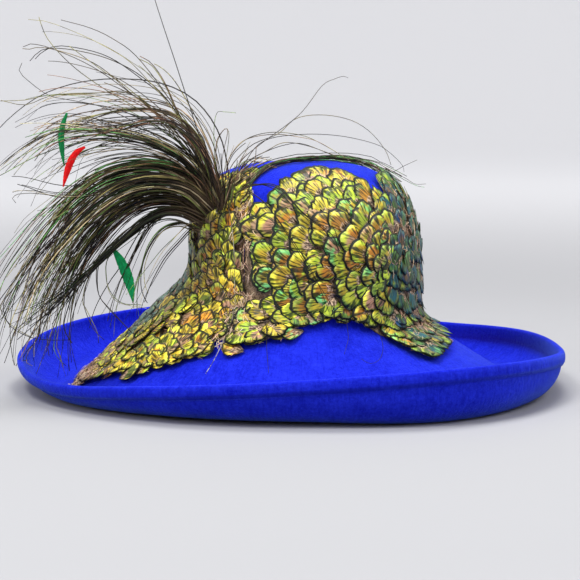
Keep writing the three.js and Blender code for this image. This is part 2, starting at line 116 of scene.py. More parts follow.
def profile(s, station, proud):
    # crown: the rounded square reach^n + rise^n = 1; flare: a hollow quarter turn; slope:
    # straight; fold: a circle. proud lifts the point off the felt's outside.
    power = 2 / hat["squareness"]
    turn = np.clip(station, 0, 1) * math.pi / 2
    crownX = (s["crown"] + proud) * np.sin(turn) ** power
    crownZ = s["waist"] + (hat["crownTop"] - s["waist"] + proud) * np.maximum(0, np.cos(turn)) ** power
    flareEnd = math.pi / 2 - s["slope"]
    bend = np.clip(station - 1, 0, 1) * flareEnd
    hollow = s["flare"] - proud
    flareX = s["crown"] + s["flare"] - hollow * np.cos(bend)
    flareZ = s["waist"] - hollow * np.sin(bend)
    startX, startZ = onFold(s, -s["slope"], proud)
    down = np.clip(station - 2, 0, 1)
    slopeX = flareX + (startX - flareX) * down
    slopeZ = flareZ + (startZ - flareZ) * down
    foldX, foldZ = onFold(s, -s["slope"] + (station - 3) * (s["slope"] + s["wallTurn"]), proud)
    zones = [station <= 1, station <= 2, station <= 3]
    reach = np.select(zones, [crownX, flareX, slopeX], foldX)
    height = np.select(zones, [crownZ, flareZ, slopeZ], foldZ)
    return reach, height


def around(direction, reach, height):
    # points from their direction, their distance from the axis and their height
    turn = np.radians(direction)
    return np.stack(np.broadcast_arrays(reach * np.cos(turn), reach * np.sin(turn), height), -1)


def feltPoint(direction, station, proud=0.0):
    # a place of the felt's outside, lifted off it by proud
    direction = np.asarray(direction, float)
    return around(direction, *profile(section(direction), np.asarray(station, float), proud))


def feltSheet(columns):
    # every column is one closed line: down the outside, over the rim into the hem, and back
    # up the inside; the fold is pressed flat where it stands
    direction = np.arange(columns) * 360 / columns
    s = section(direction)
    flare, slope, fold = feltRows["flare"], feltRows["slope"], feltRows["fold"]
    crownStations = np.sin(np.linspace(0, math.pi / 2, feltRows["crown"])) ** 0.9
    outside = np.concatenate([crownStations, 1 + np.arange(1, flare + 1) / flare,
                              2 + np.arange(1, slope + 1) / slope, 3 + np.arange(1, fold) / fold])
    lines = [profile(s, np.full(columns, v), 0.0) for v in outside]
    upX, upZ = np.cos(s["wallTurn"]), np.sin(s["wallTurn"])
    half = (hat["felt"] + hat["hemFelt"]) / 2

    def wallPoint(down, proud):
        # down from the rim along the felt: the straight wall first, then the fold's circle
        topX, topZ = onFold(s, s["wallTurn"], proud)
        rest = s["wall"] - down
        arcX, arcZ = onFold(s, s["wallTurn"] + rest / (s["radius"] + hat["felt"]), proud)
        straight = rest >= 0
        return np.where(straight, topX + upX * rest, arcX), np.where(straight, topZ + upZ * rest, arcZ)

    innerX, innerZ = wallPoint(half, 0.0)
    for turn in np.radians(np.linspace(0, 180, feltRows["rim"])):
        out, up = half * (1 - math.cos(turn)), half * math.sin(turn)
        lines.append((innerX + upZ * out + upX * up, innerZ - upX * out + upZ * up))
    # the hem swells a little and is pinched thin towards its sewn edge
    for share in (0.3, 0.45, 0.6, 0.75, 0.88, 0.96):
        pinch = hat["hemFelt"] * 0.45 * max(0, share - 0.72) / 0.24
        plump = hat["hemPlump"] * math.sin(math.pi * share) - pinch
        lines.append(wallPoint(hat["hemDepth"] * share, -hat["felt"] - hat["hemFelt"] - plump))
    for past, share in ((0, 0.34), (0.5, 0.12), (1, 0)):
        depth = hat["hemDepth"] + hat["hemStep"] * past
        lines.append(wallPoint(depth, -hat["felt"] - hat["hemFelt"] * share))
    outer = s["radius"] + hat["felt"]
    flat = np.arccos(1 - hat["contactDip"] / outer)
    onCircle = hat["hemDepth"] + hat["hemStep"] - np.minimum(s["wall"], hat["hemDepth"])
    hemEnd = s["wallTurn"] - onCircle / outer
    for share in np.linspace(0, 1, feltRows["underHem"] + 1)[1:]:
        lines.append(onFold(s, hemEnd + (flat - hemEnd) * share, -hat["felt"]))
    for share in np.linspace(0, 1, feltRows["foot"]):
        lines.append(onFold(s, -flat + (flat - s["slope"]) * share, -hat["felt"]))
    inside = np.concatenate([2 + np.arange(slope - 1, -1, -1) / slope,
                             1 + np.arange(flare - 1, 0, -1) / flare, crownStations[::-1]])
    lines += [profile(s, np.full(columns, v), -hat["felt"]) for v in inside]
    reach = np.array([line[0] for line in lines]).T
    height = np.array([line[1] for line in lines]).T
    return direction, reach, height


# Where the crown's axis stands in the frame: the felt's own box against the CAD felt's box.
direction, reach, height = feltSheet(360)
ownPoints = around(direction[:, None], reach, height).reshape(-1, 3)
ownMiddle = (ownPoints.min(0) + ownPoints.max(0)) / 2
cadMiddle = np.array(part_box("felt_body")).mean(0)
axis = np.array([cadMiddle[0] - ownMiddle[0], cadMiddle[1] - ownMiddle[1], 0.0])
print("crown axis at", axis.round(4))

# The camera: the photograph's distance and angle, in the crown's frame. centreX and centreY are
# the photo pixel that the crown's axis has at the height of aim.
view = {"distance": 2.0, "elevation": math.radians(6.2), "aim": np.array([0, 0, 0.095]),
        "focal": 2500.0, "centreX": 304.5, "centreY": 266.6, "frame": 580, "sensor": 36.0}
backWay = np.array([0, -math.cos(view["elevation"]), math.sin(view["elevation"])])
upWay = np.array([0, math.sin(view["elevation"]), math.cos(view["elevation"])])
eye = view["aim"] + backWay * view["distance"]


def pixelWay(x, y):
    # the direction from the eye through a pixel of the photo
    sideways = (np.asarray(x, float) - view["centreX"]) / view["focal"]
    upwards = -(np.asarray(y, float) - view["centreY"]) / view["focal"]
    return sideways[..., None] * np.array([1.0, 0, 0]) + upwards[..., None] * upWay - backWay


def atDepth(x, y, depth):
    # where the pixel's line of sight crosses the plane Y = depth
    way = pixelWay(x, y)
    return eye + way * ((depth - eye[1]) / way[..., 1])[..., None]


def toPixels(points):
    # the photo's pixel of each point, and how far it is from the eye
    seen = points - eye
    away = -(seen @ backWay)
    return np.stack([view["centreX"] + view["focal"] * seen[..., 0] / away,
                     view["centreY"] - view["focal"] * (seen @ upWay) / away], -1), away


def placing(right, up, back, spot):
    # a camera's or lamp's matrix: its ways to the right, up and back, and its place
    return Matrix([[right[k], up[k], back[k], spot[k]] for k in range(3)] + [[0, 0, 0, 1]])


def makeCamera():
    camera = bpy.data.objects.new("photoCamera", bpy.data.cameras.new("photoCamera"))
    bpy.context.collection.objects.link(camera)
    camera.data.sensor_width = view["sensor"]
    camera.data.lens = view["sensor"] * view["focal"] / view["frame"]
    middle = pixelWay(view["frame"] / 2, view["frame"] / 2)
    right = np.cross(middle, upWay)
    right /= np.linalg.norm(right)
    back = -middle / np.linalg.norm(middle)
    camera.matrix_world = placing(right, np.cross(back, right), back, eye + axis)
    bpy.context.scene.camera = camera


makeCamera()


# Shader maths: a Wire is a socket that can be used in arithmetic like a number.
class Wire:
    def __init__(self, tree, socket):
        self.tree = tree
        self.socket = socket

    def math(self, operation, first, second):
        return addNode(self.tree, "ShaderNodeMath", {"operation": operation}, {0: first, 1: second})

    def __add__(self, other):
        return self.math("ADD", self, other)

    def __radd__(self, other):
        return self.math("ADD", other, self)

    def __sub__(self, other):
        return self.math("SUBTRACT", self, other)

    def __rsub__(self, other):
        return self.math("SUBTRACT", other, self)

    def __mul__(self, other):
        return self.math("MULTIPLY", self, other)

    def __rmul__(self, other):
        return self.math("MULTIPLY", other, self)

    def __abs__(self):
        return addNode(self.tree, "ShaderNodeMath", {"operation": "ABSOLUTE"}, {0: self})


def addNode(tree, kind, settings, inputs, out=0):
    # one node: its settings first, then its sockets, each a value or a Wire
    node = tree.nodes.new(kind)
    for name, value in settings.items():
        setattr(node, name, value)
    for key, value in inputs.items():
        if isinstance(value, Wire):
            tree.links.new(value.socket, node.inputs[key])
        elif isinstance(value, tuple) and len(value) == 3 and node.inputs[key].type == "RGBA":
            node.inputs[key].default_value = (*value, 1.0)
        else:
            node.inputs[key].default_value = value
    return Wire(tree, node.outputs[out])


def mixColour(tree, factor, first, second, blend="MIX"):
    # the Mix node's colour sockets are 6 and 7, and its colour output is 2
    return addNode(tree, "ShaderNodeMix", {"data_type": "RGBA", "blend_type": blend},
                   {0: factor, 6: first, 7: second}, 2)


def smooth(tree, value, low, high):
    # 0 below low, 1 above high, and an even S between
    return addNode(tree, "ShaderNodeMapRange", {"interpolation_type": "SMOOTHSTEP"},
                   {"Value": value, "From Min": low, "From Max": high})


def noise(tree, vector, scale, detail, rough):
    inputs = {"Vector": vector, "Scale": scale, "Detail": detail, "Roughness": rough}
    return addNode(tree, "ShaderNodeTexNoise", {}, inputs)


def vectorOf(tree, x, y, z):
    return addNode(tree, "ShaderNodeCombineXYZ", {}, {0: x, 1: y, 2: z})


def uvWires(tree):
    # the two coordinates that a piece's own UV map gives each point
    uv = addNode(tree, "ShaderNodeUVMap", {"uv_map": "along"}, {})
    first = addNode(tree, "ShaderNodeSeparateXYZ", {}, {0: uv})
    return first, Wire(tree, first.socket.node.outputs[1])


def pointWire(tree, name, out="Color"):
    # what a mesh keeps for each point under this name
    return addNode(tree, "ShaderNodeAttribute", {"attribute_name": name}, {}, out)


def startMaterial(name):
    material = bpy.data.materials.new(name)
    material.use_nodes = True
    tree = material.node_tree
    tree.nodes.clear()
    return material, tree


def finishMaterial(tree, colour, constants, roughness=None, bump=None):
    # constants go straight onto the shader's own sockets; bump is (height, strength, distance)
    inputs = dict(constants)
    inputs["Base Color"] = colour
    if roughness is not None:
        inputs["Roughness"] = roughness
    if bump is not None:
        height, strength, distance = bump
        inputs["Normal"] = addNode(tree, "ShaderNodeBump", {}, {"Strength": strength, "Distance": distance,
                                                               "Height": height})
    shader = addNode(tree, "ShaderNodeBsdfPrincipled", {}, inputs)
    output = tree.nodes.new("ShaderNodeOutputMaterial")
    tree.links.new(shader.socket, output.inputs["Surface"])


def makeMesh(name, points, faces, uvs=None, attributes=None, cornerUvs=None):
    # points are in the crown's frame; uvs has a row for each point, cornerUvs for each corner
    mesh = bpy.data.meshes.new(name)
    mesh.from_pydata((points + axis).tolist(), [], faces if isinstance(faces, list) else faces.tolist())
    if uvs is not None or cornerUvs is not None:
        layer = mesh.uv_layers.new(name="along")
        if cornerUvs is None:
            corners = np.empty(len(mesh.loops), dtype=np.int32)
            mesh.loops.foreach_get("vertex_index", corners)
            cornerUvs = uvs[corners]
        layer.data.foreach_set("uv", np.asarray(cornerUvs, dtype=np.float32).ravel())
    for label, values in (attributes or {}).items():
        values = np.asarray(values, dtype=np.float32)
        if values.ndim == 1:
            mesh.attributes.new(label, "FLOAT", "POINT").data.foreach_set("value", values)
        else:
            rgba = np.concatenate([values, np.ones((len(values), 1), dtype=np.float32)], 1)
            mesh.color_attributes.new(label, "FLOAT_COLOR", "POINT").data.foreach_set("color", rgba.ravel())
    mesh.polygons.foreach_set("use_smooth", np.ones(len(mesh.polygons), dtype=bool))
    mesh.update()
    piece = bpy.data.objects.new(name, mesh)
    bpy.context.collection.objects.link(piece)
    return piece


def gridFaces(grid):
    # one quad for each cell of a grid of point numbers
    return np.stack([grid[:-1, :-1], grid[1:, :-1], grid[1:, 1:], grid[:-1, 1:]], -1).reshape(-1, 4)


def shellFaces(grid):
    # two sheets over one grid, the second's points after the first's, closed along their outline
    over = gridFaces(grid)
    loop = np.concatenate([grid[:, 0], grid[-1, 1:], grid[-2::-1, -1], grid[0, -2:0:-1]])
    following = np.roll(loop, -1)
    rim = np.stack([following, loop, loop + grid.size, following + grid.size], -1)
    return np.concatenate([over, over[:, ::-1] + grid.size, rim])


def putOn(piece, material, slotName, *nodes):
    piece.data.materials.append(material)
    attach(piece, "root")
    if nodes:
        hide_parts(*nodes)


# Felt. Grain scales are per metre; painted shade darkens the felt inside the turned-up wall at
# the right and back, in bands below the rim's top, each (down to its middle, width, strength).
feltLook = {
    "deep": (0.0003, 0.003, 0.30), "lit": (0.014, 0.028, 0.62), "seam": (0.001, 0.004, 0.14),
    "inner": (0.003, 0.001, 0.15), "sheen": 0.28, "sheenTint": (0.24, 0.46, 1.0), "columns": 300,
    "fibre": 1500.0, "tuft": 420.0, "clump": 110.0, "patch": 22.0, "brushed": (520.0, 60.0),
    "groove": 0.0030, "grooveDepth": 0.0006, "meanReach": 0.22, "darkWay": 30, "darkWidth": 48,
    "darkBands": [(-0.0135, 0.0035, 0.8), (-0.0075, 0.0055, 0.7)],
}


def feltMaterial(hemLine):
    # pressed wool: fine fibre, tufts, clumps and slow patches, brushed down the felt, with the
    # groove under the hem, bumped and darkened as painted shade, and painted shade inside the wall
    material, tree = startMaterial("blueFelt")
    place = addNode(tree, "ShaderNodeTexCoord", {}, {}, "Object")
    fibre = noise(tree, place, feltLook["fibre"], 3.0, 0.6)
    tuft = noise(tree, place, feltLook["tuft"], 3.0, 0.6)
    clump = noise(tree, place, feltLook["clump"], 2.0, 0.5)
    patch = noise(tree, place, feltLook["patch"], 3.0, 0.55)
    roundWay, downWay = uvWires(tree)
    brushRound, brushDown = feltLook["brushed"]
    brushed = noise(tree, vectorOf(tree, roundWay * brushRound, downWay * brushDown, 0.0), 1.0, 3.0, 0.6)
    tone = fibre * 0.8 + tuft * 1.1 + clump * 0.6 + patch * 0.6 + brushed * 0.7 - 1.40
    colour = mixColour(tree, tone, feltLook["deep"], feltLook["lit"])
    groove = 1 - smooth(tree, abs(downWay - hemLine), 0.0, feltLook["groove"])
    # painted shade: the groove under the hem is darkened towards the seam colour
    colour = mixColour(tree, groove * 0.42, colour, feltLook["seam"])
    # painted shade: the foldShade bands pull the felt towards the inner colour
    colour = mixColour(tree, pointWire(tree, "foldShade", "Fac"), colour, feltLook["inner"])
    relief = fibre * 0.5 + tuft * 0.7 + patch * 0.4 + brushed * 0.5 - groove * 0.8
    finishMaterial(tree, colour, {
        "Roughness": 0.9, "Specular IOR Level": 0.06, "Sheen Weight": feltLook["sheen"],
        "Sheen Roughness": 0.32, "Sheen Tint": (*feltLook["sheenTint"], 1.0),
    }, bump=(relief, 0.8, 0.0009))
    return material


def makeFelt():
    # the sheet's columns side by side as quads; its first and last rows meet on the axis, each
    # in one point with a fan of triangles round it
    direction, reach, height = feltSheet(feltLook["columns"])
    points = around(direction[:, None], reach, height)
    columns, rows = reach.shape
    steps = np.hypot(np.diff(reach, axis=1), np.diff(height, axis=1))
    down = np.concatenate([np.zeros((columns, 1)), np.cumsum(steps, 1)], 1)
    first = sum(feltRows[name] for name in ("crown", "flare", "slope", "fold")) - 1
    rim = first + int(np.argmax(height[:, first:first + feltRows["rim"]].mean(0)))
    down -= down[:, rim:rim + 1]
    rimWay = np.arange(columns + 1) * (2 * math.pi * feltLook["meanReach"] / columns)
    column = np.arange(columns)[:, None]
    row = np.arange(1, rows - 2)[None, :]
    here = column * rows + row
    there = ((column + 1) % columns) * rows + row
    quads = np.stack([here, here + 1, there + 1, there], -1).reshape(-1, 4)
    keep = np.ones((columns, rows), bool)
    keep[1:, 0] = False
    keep[1:, -1] = False
    index = np.cumsum(keep.ravel()) - 1
    each = np.arange(columns)
    following = (each + 1) % columns
    top, bottom = index[each * rows + 1], index[each * rows + rows - 2]
    topFan = np.stack([np.full(columns, index[0]), top, top[following]], -1)
    innerFan = np.stack([np.full(columns, index[rows - 1]), bottom[following], bottom], -1)
    faces = index[quads].tolist() + topFan.tolist() + innerFan.tolist()
    wide = np.broadcast_to(column, here.shape).ravel()
    far = np.stack([wide, wide, wide + 1, wide + 1], -1)
    corner = np.stack([rimWay[far], down[quads // rows, quads % rows]], -1).reshape(-1, 2)
    fans = np.full((6 * columns, 2), -1.0)
    # painted shade: darkest inside the turned-up wall at the right and back, in bands below the rim
    apart = (direction - feltLook["darkWay"] + 180) % 360 - 180
    side = np.exp(-(apart / feltLook["darkWidth"]) ** 2)[:, None]
    shade = side * sum(strength * np.exp(-((down - middle) / width) ** 2)
                       for middle, width, strength in feltLook["darkBands"])
    piece = makeMesh("hatFelt", points.reshape(-1, 3)[keep.ravel()], faces,
                     cornerUvs=np.concatenate([corner, fans]),
                     attributes={"foldShade": shade.ravel()[keep.ravel()]})
    putOn(piece, feltMaterial(hat["hemDepth"] + feltLook["grooveDepth"]), "blue_felt", "felt_body")
    print("felt", len(faces), "faces")


makeFelt()


# Feathers. A pad's edges by direction, in stations, as the solids have them.
padEdges = {
    "left": [(150, 0.80, 1.90), (174, 0.70, 2.05), (183, 0.64, 2.30), (189, 0.60, 3.05), (195, 0.55, 3.08),
             (210, 0.44, 2.87), (222, 0.34, 2.74), (231, 0.30, 2.62), (237, 0.44, 2.48), (243, 0.58, 2.38)],
    "front": [(243, 0.66, 2.38), (252, 0.56, 2.30), (261, 0.36, 2.15), (270, 0.28, 1.95), (279, 0.24, 1.45),
              (288, 0.26, 1.42), (297, 0.30, 1.70), (303, 0.34, 2.05), (309, 0.41, 2.22)],
    "right": [(309, 0.58, 2.28), (315, 0.54, 2.38), (324, 0.44, 2.33), (333, 0.35, 2.28), (345, 0.32, 2.21),
              (365, 0.38, 2.19), (384, 0.52, 2.05), (399, 0.70, 1.80)],
}
stationGrid = np.concatenate([np.linspace(0.02, 1, 110), np.linspace(1, 4, 130)[1:]])
layBatch = 12000
# How far past a pad's edges a feather's tip and its root may lie: degrees at the sides, and
# stations over the top and under the bottom.
tipMargin, rootMargin = (1.5, 0.02, 0.0), (9, 0.12, 0.06)


def edgesAt(pad, direction):
    # the stations of a pad's top and bottom edge
    rows = np.array(padEdges[pad])
    return [np.interp(direction, rows[:, 0], rows[:, k]) for k in (1, 2)]


def lineOf(direction):
    # the felt's outside line in each direction, as reach and height over stationGrid
    s = {key: value[:, None] for key, value in section(direction).items()}
    return profile(s, np.broadcast_to(stationGrid, (len(direction), len(stationGrid))), 0.0)


def stationAt(direction, path):
    # the station that lies the given length down the felt from the crown's top
    reach, height = lineOf(direction)
    steps = np.hypot(np.diff(reach, axis=1), np.diff(height, axis=1))
    length = reach[:, :1] + np.concatenate([np.zeros((len(direction), 1)), np.cumsum(steps, 1)], 1)
    after = np.clip((length < path[:, None]).sum(1), 1, len(stationGrid) - 1)
    each = np.arange(len(direction))
    low, high = length[each, after - 1], length[each, after]
    share = np.clip((path - low) / (high - low), 0, 1)
    return stationGrid[after - 1] + share * (stationGrid[after] - stationGrid[after - 1])


def layOn(points, proud):
    # drops each point on the nearest place of the felt in its own direction and lifts it
    # from there along the felt's normal
    direction = np.degrees(np.arctan2(points[:, 1], points[:, 0])) % 360
    out = np.empty_like(points)
    for start in range(0, len(points), layBatch):
        part = slice(start, start + layBatch)
        reach, height = lineOf(direction[part])
        own = np.hypot(points[part, 0], points[part, 1])[:, None]
        gap = (reach - own) ** 2 + (height - points[part, 2:3]) ** 2
        best = np.clip(gap.argmin(1), 1, len(stationGrid) - 2)
        each = np.arange(len(best))
        wayX = reach[each, best + 1] - reach[each, best - 1]
        wayZ = height[each, best + 1] - height[each, best - 1]
        size = np.hypot(wayX, wayZ)
        wayX, wayZ = wayX / size, wayZ / size
        slide = (own[:, 0] - reach[each, best]) * wayX + (points[part, 2] - height[each, best]) * wayZ
        footX = reach[each, best] + slide * wayX - wayZ * proud[part]
        footZ = height[each, best] + slide * wayZ + wayX * proud[part]
        out[part] = around(direction[part], footX, footZ)
    return out


def mapToFelt(origin, x, y):
    # x runs round the felt and y down it, both in metres from origin = (direction, path)
    path = origin[1] + y
    nearStation = stationAt(np.full(len(x), origin[0]), np.maximum(path, 0.004))
    nearReach = profile(section(np.full(len(x), origin[0])), nearStation, 0.0)[0]
    direction = origin[0] + np.degrees(x / np.maximum(nearReach, 0.03))
    return direction, stationAt(direction, np.maximum(path, 0.004))


def insidePad(pad, direction, station, margin):
    # which places lie inside the pad's edges, let out by margin
    top, bottom = edgesAt(pad, direction)
    low, high = padEdges[pad][0][0], padEdges[pad][-1][0]
    inside = (direction > low - margin[0]) & (direction < high + margin[0])
    return inside & (station > top - margin[1]) & (station < bottom + margin[2])


def fieldFrom(pad, origin, spots):
    # keeps the spots whose tips lie inside the pad's edges; a feather whose root would lie
    # outside them is turned round, so that it points out of the pad
    back = featherLooks[pad]["stem"] + featherLooks[pad]["halfWidth"]
    x, y, turn = spots.T
    direction, station = mapToFelt(origin, x, y)
    keep = insidePad(pad, direction, station, tipMargin)
    x, y, turn, direction, station = x[keep], y[keep], turn[keep], direction[keep], station[keep]
    rootX, rootY = x - back * np.cos(turn), y - back * np.sin(turn)
    rootIn = insidePad(pad, *mapToFelt(origin, rootX, rootY), rootMargin)
    turn = np.where(rootIn, turn, turn + math.pi)
    return direction, station, turn


def waysAt(direction, station):
    # a point of the felt with its unit ways round and down
    centre = feltPoint(direction, station)
    wayRound = feltPoint(direction + 0.01, station) - centre
    wayDown = feltPoint(direction, station + 0.01) - centre
    wayRound /= np.linalg.norm(wayRound, axis=1, keepdims=True)
    wayDown -= wayRound * (wayDown * wayRound).sum(1, keepdims=True)
    wayDown /= np.linalg.norm(wayDown, axis=1, keepdims=True)
    return centre, wayRound, wayDown


def turned(wayRound, wayDown, turn):
    # the way at turn from round towards down, and the way square to it
    ahead = wayRound * np.cos(turn)[:, None] + wayDown * np.sin(turn)[:, None]
    beside = -wayRound * np.sin(turn)[:, None] + wayDown * np.cos(turn)[:, None]
    return ahead, beside


def edgeField(pad, side, gap, sway):
    # a row along a pad's top (-1) or bottom (1) edge, tips outwards, so that feathers and not
    # the skin under them make the edge
    direction = np.linspace(padEdges[pad][0][0], padEdges[pad][-1][0], 500)
    station = edgesAt(pad, direction)[0 if side < 0 else 1]
    steps = np.linalg.norm(np.diff(feltPoint(direction, station), axis=0), axis=1)
    length = np.concatenate([[0], np.cumsum(steps)])
    at = np.arange(gap / 2, length[-1], gap)
    at = at + chance.normal(0, gap / 6, len(at))
    spots = [(np.interp(at + k, length, direction), np.interp(at + k, length, station))
             for k in (-0.002, 0, 0.002)]
    centre, wayRound, wayDown = waysAt(*spots[1])
    edge = feltPoint(*spots[2]) - feltPoint(*spots[0])
    along, down = (edge * wayRound).sum(1), (edge * wayDown).sum(1)
    turn = np.arctan2(side * along, -side * down) + chance.normal(0, sway, len(at))
    return spots[1][0], spots[1][1], turn


def ringField(pad, origin, pitch, gap, reach):
    # rings round origin, tips pointing outwards; pitch is from ring to ring, gap along a ring
    rows = []
    for ring in range(int(reach / pitch) + 1):
        radius = pitch * (ring + 0.55)
        count = max(5, int(round(2 * math.pi * radius / gap)))
        turn = (np.arange(count) + 0.5 * (ring % 2) + chance.uniform(0, 0.4)) * 2 * math.pi / count
        turn = turn + chance.normal(0, 0.06, count)
        radii = radius + chance.normal(0, 0.0016, count) + 0.002 * np.sin(turn * 5 + ring)
        way = turn + chance.normal(0, 0.16, count)
        rows.append(np.stack([radii * np.cos(turn), radii * np.sin(turn), way], 1))
    return fieldFrom(pad, origin, np.concatenate(rows))


def latticeField(pad, origin, pitch, gap, size, flow, spread, loose=0.0012):
    # staggered rows across the flow; flow gives the way a tip points by place, in radians
    # from the way round towards the way down
    acrossCount, alongCount = int(size[0] / gap), int(size[1] / pitch)
    across, along = np.meshgrid(np.arange(-acrossCount, acrossCount + 1),
                                np.arange(-alongCount, alongCount + 1))
    lane = (across + 0.5 * (along % 2)).ravel() * gap
    step = along.ravel() * pitch
    lane = lane + chance.normal(0, 0.0010, lane.shape)
    step = step + chance.normal(0, loose, step.shape)
    lean = flow["lattice"]
    x = step * math.cos(lean) - lane * math.sin(lean)
    y = step * math.sin(lean) + lane * math.cos(lean)
    turn = flow["turn"](x, y) + chance.normal(0, spread, x.shape)
    return fieldFrom(pad, origin, np.stack([x, y, turn], 1))


def featherMesh(name, direction, station, turn, look, tints, raised=0.0, calm=1.0):
    # each feather is a fan from its root: at angle a the edge lies c cos a + sqrt(w^2 - c^2
    # sin^2 a) away, a circle of half width w seen from a point c in front of its middle;
    # it rises from the root to the tip, so that it lies over the next one's root; calm
    # below 1 presses it flat
    count, spokes, rings = len(direction), look["spokes"], look["rings"]
    half = look["halfWidth"] * chance.uniform(0.82, 1.16, count)
    stem = look["stem"] * chance.uniform(0.9, 1.12, count)
    side = np.linspace(-1, 1, spokes + 1)[None, :, None]
    out = (0.1 + 0.9 * (np.arange(rings + 1) / rings) ** 0.8)[None, None, :]
    fan = np.arcsin(np.minimum(half / stem, 0.93))[:, None, None] * side
    w, c = half[:, None, None], stem[:, None, None]
    edge = c * np.cos(fan) + np.sqrt(np.maximum(w**2 - (c * np.sin(fan)) ** 2, 0))
    ragged = 1 + look["ragged"] * chance.normal(0, 1, (count, spokes + 1, 1)) * out**4
    length = edge * ragged * out
    x, y = length * np.sin(fan), length * np.cos(fan)
    calm = np.broadcast_to(calm, count)[:, None, None]
    tipLift = calm * look["tipLift"] * chance.uniform(0.7, 1.25, count)[:, None, None]
    root = look["rootLift"] + raised + chance.uniform(0, 0.0005, count)[:, None, None]
    base = (0.55 + 0.45 * calm) * root
    tilt = chance.normal(0, 0.05, (count, 1, 1)) * x
    lift = base + tipLift * (y / (w + c)) ** 1.2 + tilt * out
    lift = lift + calm * look["crown"] * (1 - side**2) * np.sin(math.pi * out**0.8)
    centre, wayRound, wayDown = waysAt(direction, station)
    ahead, beside = turned(wayRound, wayDown, turn)
    back = (stem + half)[:, None, None]
    spots = (centre[:, None, None, :] + (y - back)[..., None] * ahead[:, None, None, :]
             + x[..., None] * beside[:, None, None, :]).reshape(-1, 3)
    flatLift = np.maximum(np.broadcast_to(lift, x.shape).ravel(), 0.0009)
    upper = layOn(spots, flatLift)
    lower = layOn(spots, flatLift - look["thickness"])
    # the two faces share the outline; only the points inside it have a twin below
    per = (spokes + 1) * (rings + 1)
    grid = np.arange(per).reshape(spokes + 1, rings + 1)
    twin = grid.copy()
    inner = grid[1:-1, 1:-1]
    twin[1:-1, 1:-1] = per + np.arange(inner.size).reshape(inner.shape)
    one = np.concatenate([gridFaces(grid), gridFaces(twin)[:, ::-1]])
    size = per + inner.size
    faces = (one[None] + (np.arange(count) * size)[:, None, None]).reshape(-1, 4)
    points = np.concatenate([upper.reshape(count, per, 3), lower.reshape(count, per, 3)[:, inner.ravel()]], 1)
    uvOne = np.stack([np.broadcast_to((side[0] + 1) / 2, (spokes + 1, rings + 1)).ravel(),
                      np.broadcast_to(out[0], (spokes + 1, rings + 1)).ravel()], -1)
    uvs = np.tile(np.concatenate([uvOne, uvOne[inner.ravel()]]), (count, 1))
    attributes = {"plumage": np.repeat(tints[0], size, 0), "accent": np.repeat(tints[1], size, 0),
                  "luck": np.repeat(chance.uniform(0, 40, count), size)}
    return makeMesh(name, points.reshape(-1, 3), faces, uvs=uvs, attributes=attributes)


downTints = [(0.70, 0.50, 0.32), (0.62, 0.38, 0.27), (0.84, 0.68, 0.48), (0.30, 0.17, 0.10),
             (0.08, 0.045, 0.025)]


def makeDown(name, direction, station, turn, look, each, slotName, seam=None):
    # soft hairs over each feather's root, and more of them along a seam (from, to, top,
    # bottom, count) that run up and down
    count = len(direction)
    centre, wayRound, wayDown = [np.repeat(v, each, 0) for v in waysAt(direction, station)]
    way = np.repeat(turn, each)
    ahead, beside = turned(wayRound, wayDown, way)
    many = len(way)
    back = look["stem"] + look["halfWidth"]
    behind = chance.uniform(0.42, 0.85, many)
    aside = chance.normal(0, look["halfWidth"] * 0.4, (many, 1))
    start = centre - ahead * (behind * back)[:, None] + beside * aside
    lean = way + chance.normal(0, 0.65, many)
    length = back * chance.uniform(0.14, 0.34, many)
    low = look["rootLift"] + look["tipLift"] * (1 - behind) ** 1.2 + chance.uniform(0.0004, 0.0011, many)
    if seam:
        first, last, top, bottom, number = seam
        seamDirection = chance.uniform(first, last, number)
        seamStation = chance.uniform(top, bottom, number)
        parts = waysAt(seamDirection, seamStation)
        start = np.concatenate([start, parts[0]])
        wayRound, wayDown = np.concatenate([wayRound, parts[1]]), np.concatenate([wayDown, parts[2]])
        lean = np.concatenate([lean, math.pi / 2 + chance.normal(0, 0.45, number)])
        length = np.concatenate([length, chance.uniform(0.005, 0.010, number)])
        low = np.concatenate([low, chance.uniform(0.0028, 0.0048, number)])
    many = len(lean)
    share = np.linspace(0, 1, 4)[None, :]
    bent = lean[:, None] + chance.normal(0, 0.6, many)[:, None] * share
    heading = wayRound[:, None, :] * np.cos(bent)[..., None] + wayDown[:, None, :] * np.sin(bent)[..., None]
    paths = start[:, None, :] + heading * (length[:, None] * share)[..., None]
    lifts = low[:, None] + 0.0006 * np.sin(math.pi * share) * chance.uniform(0, 1, (many, 1))
    paths = layOn(paths.reshape(-1, 3), lifts.ravel()).reshape(many, 4, 3)
    radii = chance.uniform(0.00016, 0.00034, (many, 1)) * np.array([[0.6, 1.0, 0.8, 0.3]])
    tints = pickTints(many, downTints, [4, 3, 2, 2, 1.4], 0.2)
    piece = tubes(name, paths, radii, 3, tints, chance.uniform(0, 60, many))
    material, tree = startMaterial(name)
    finishMaterial(tree, pointWire(tree, "plumage"), {"Roughness": 0.8, "Specular IOR Level": 0.2})
    putOn(piece, material, slotName)
    print(name, many)


# the feathers' dark edge, deepened to stand for the shadow under their raised tips and between them
darkEdgeAndShade = (0.004, 0.005, 0.003)


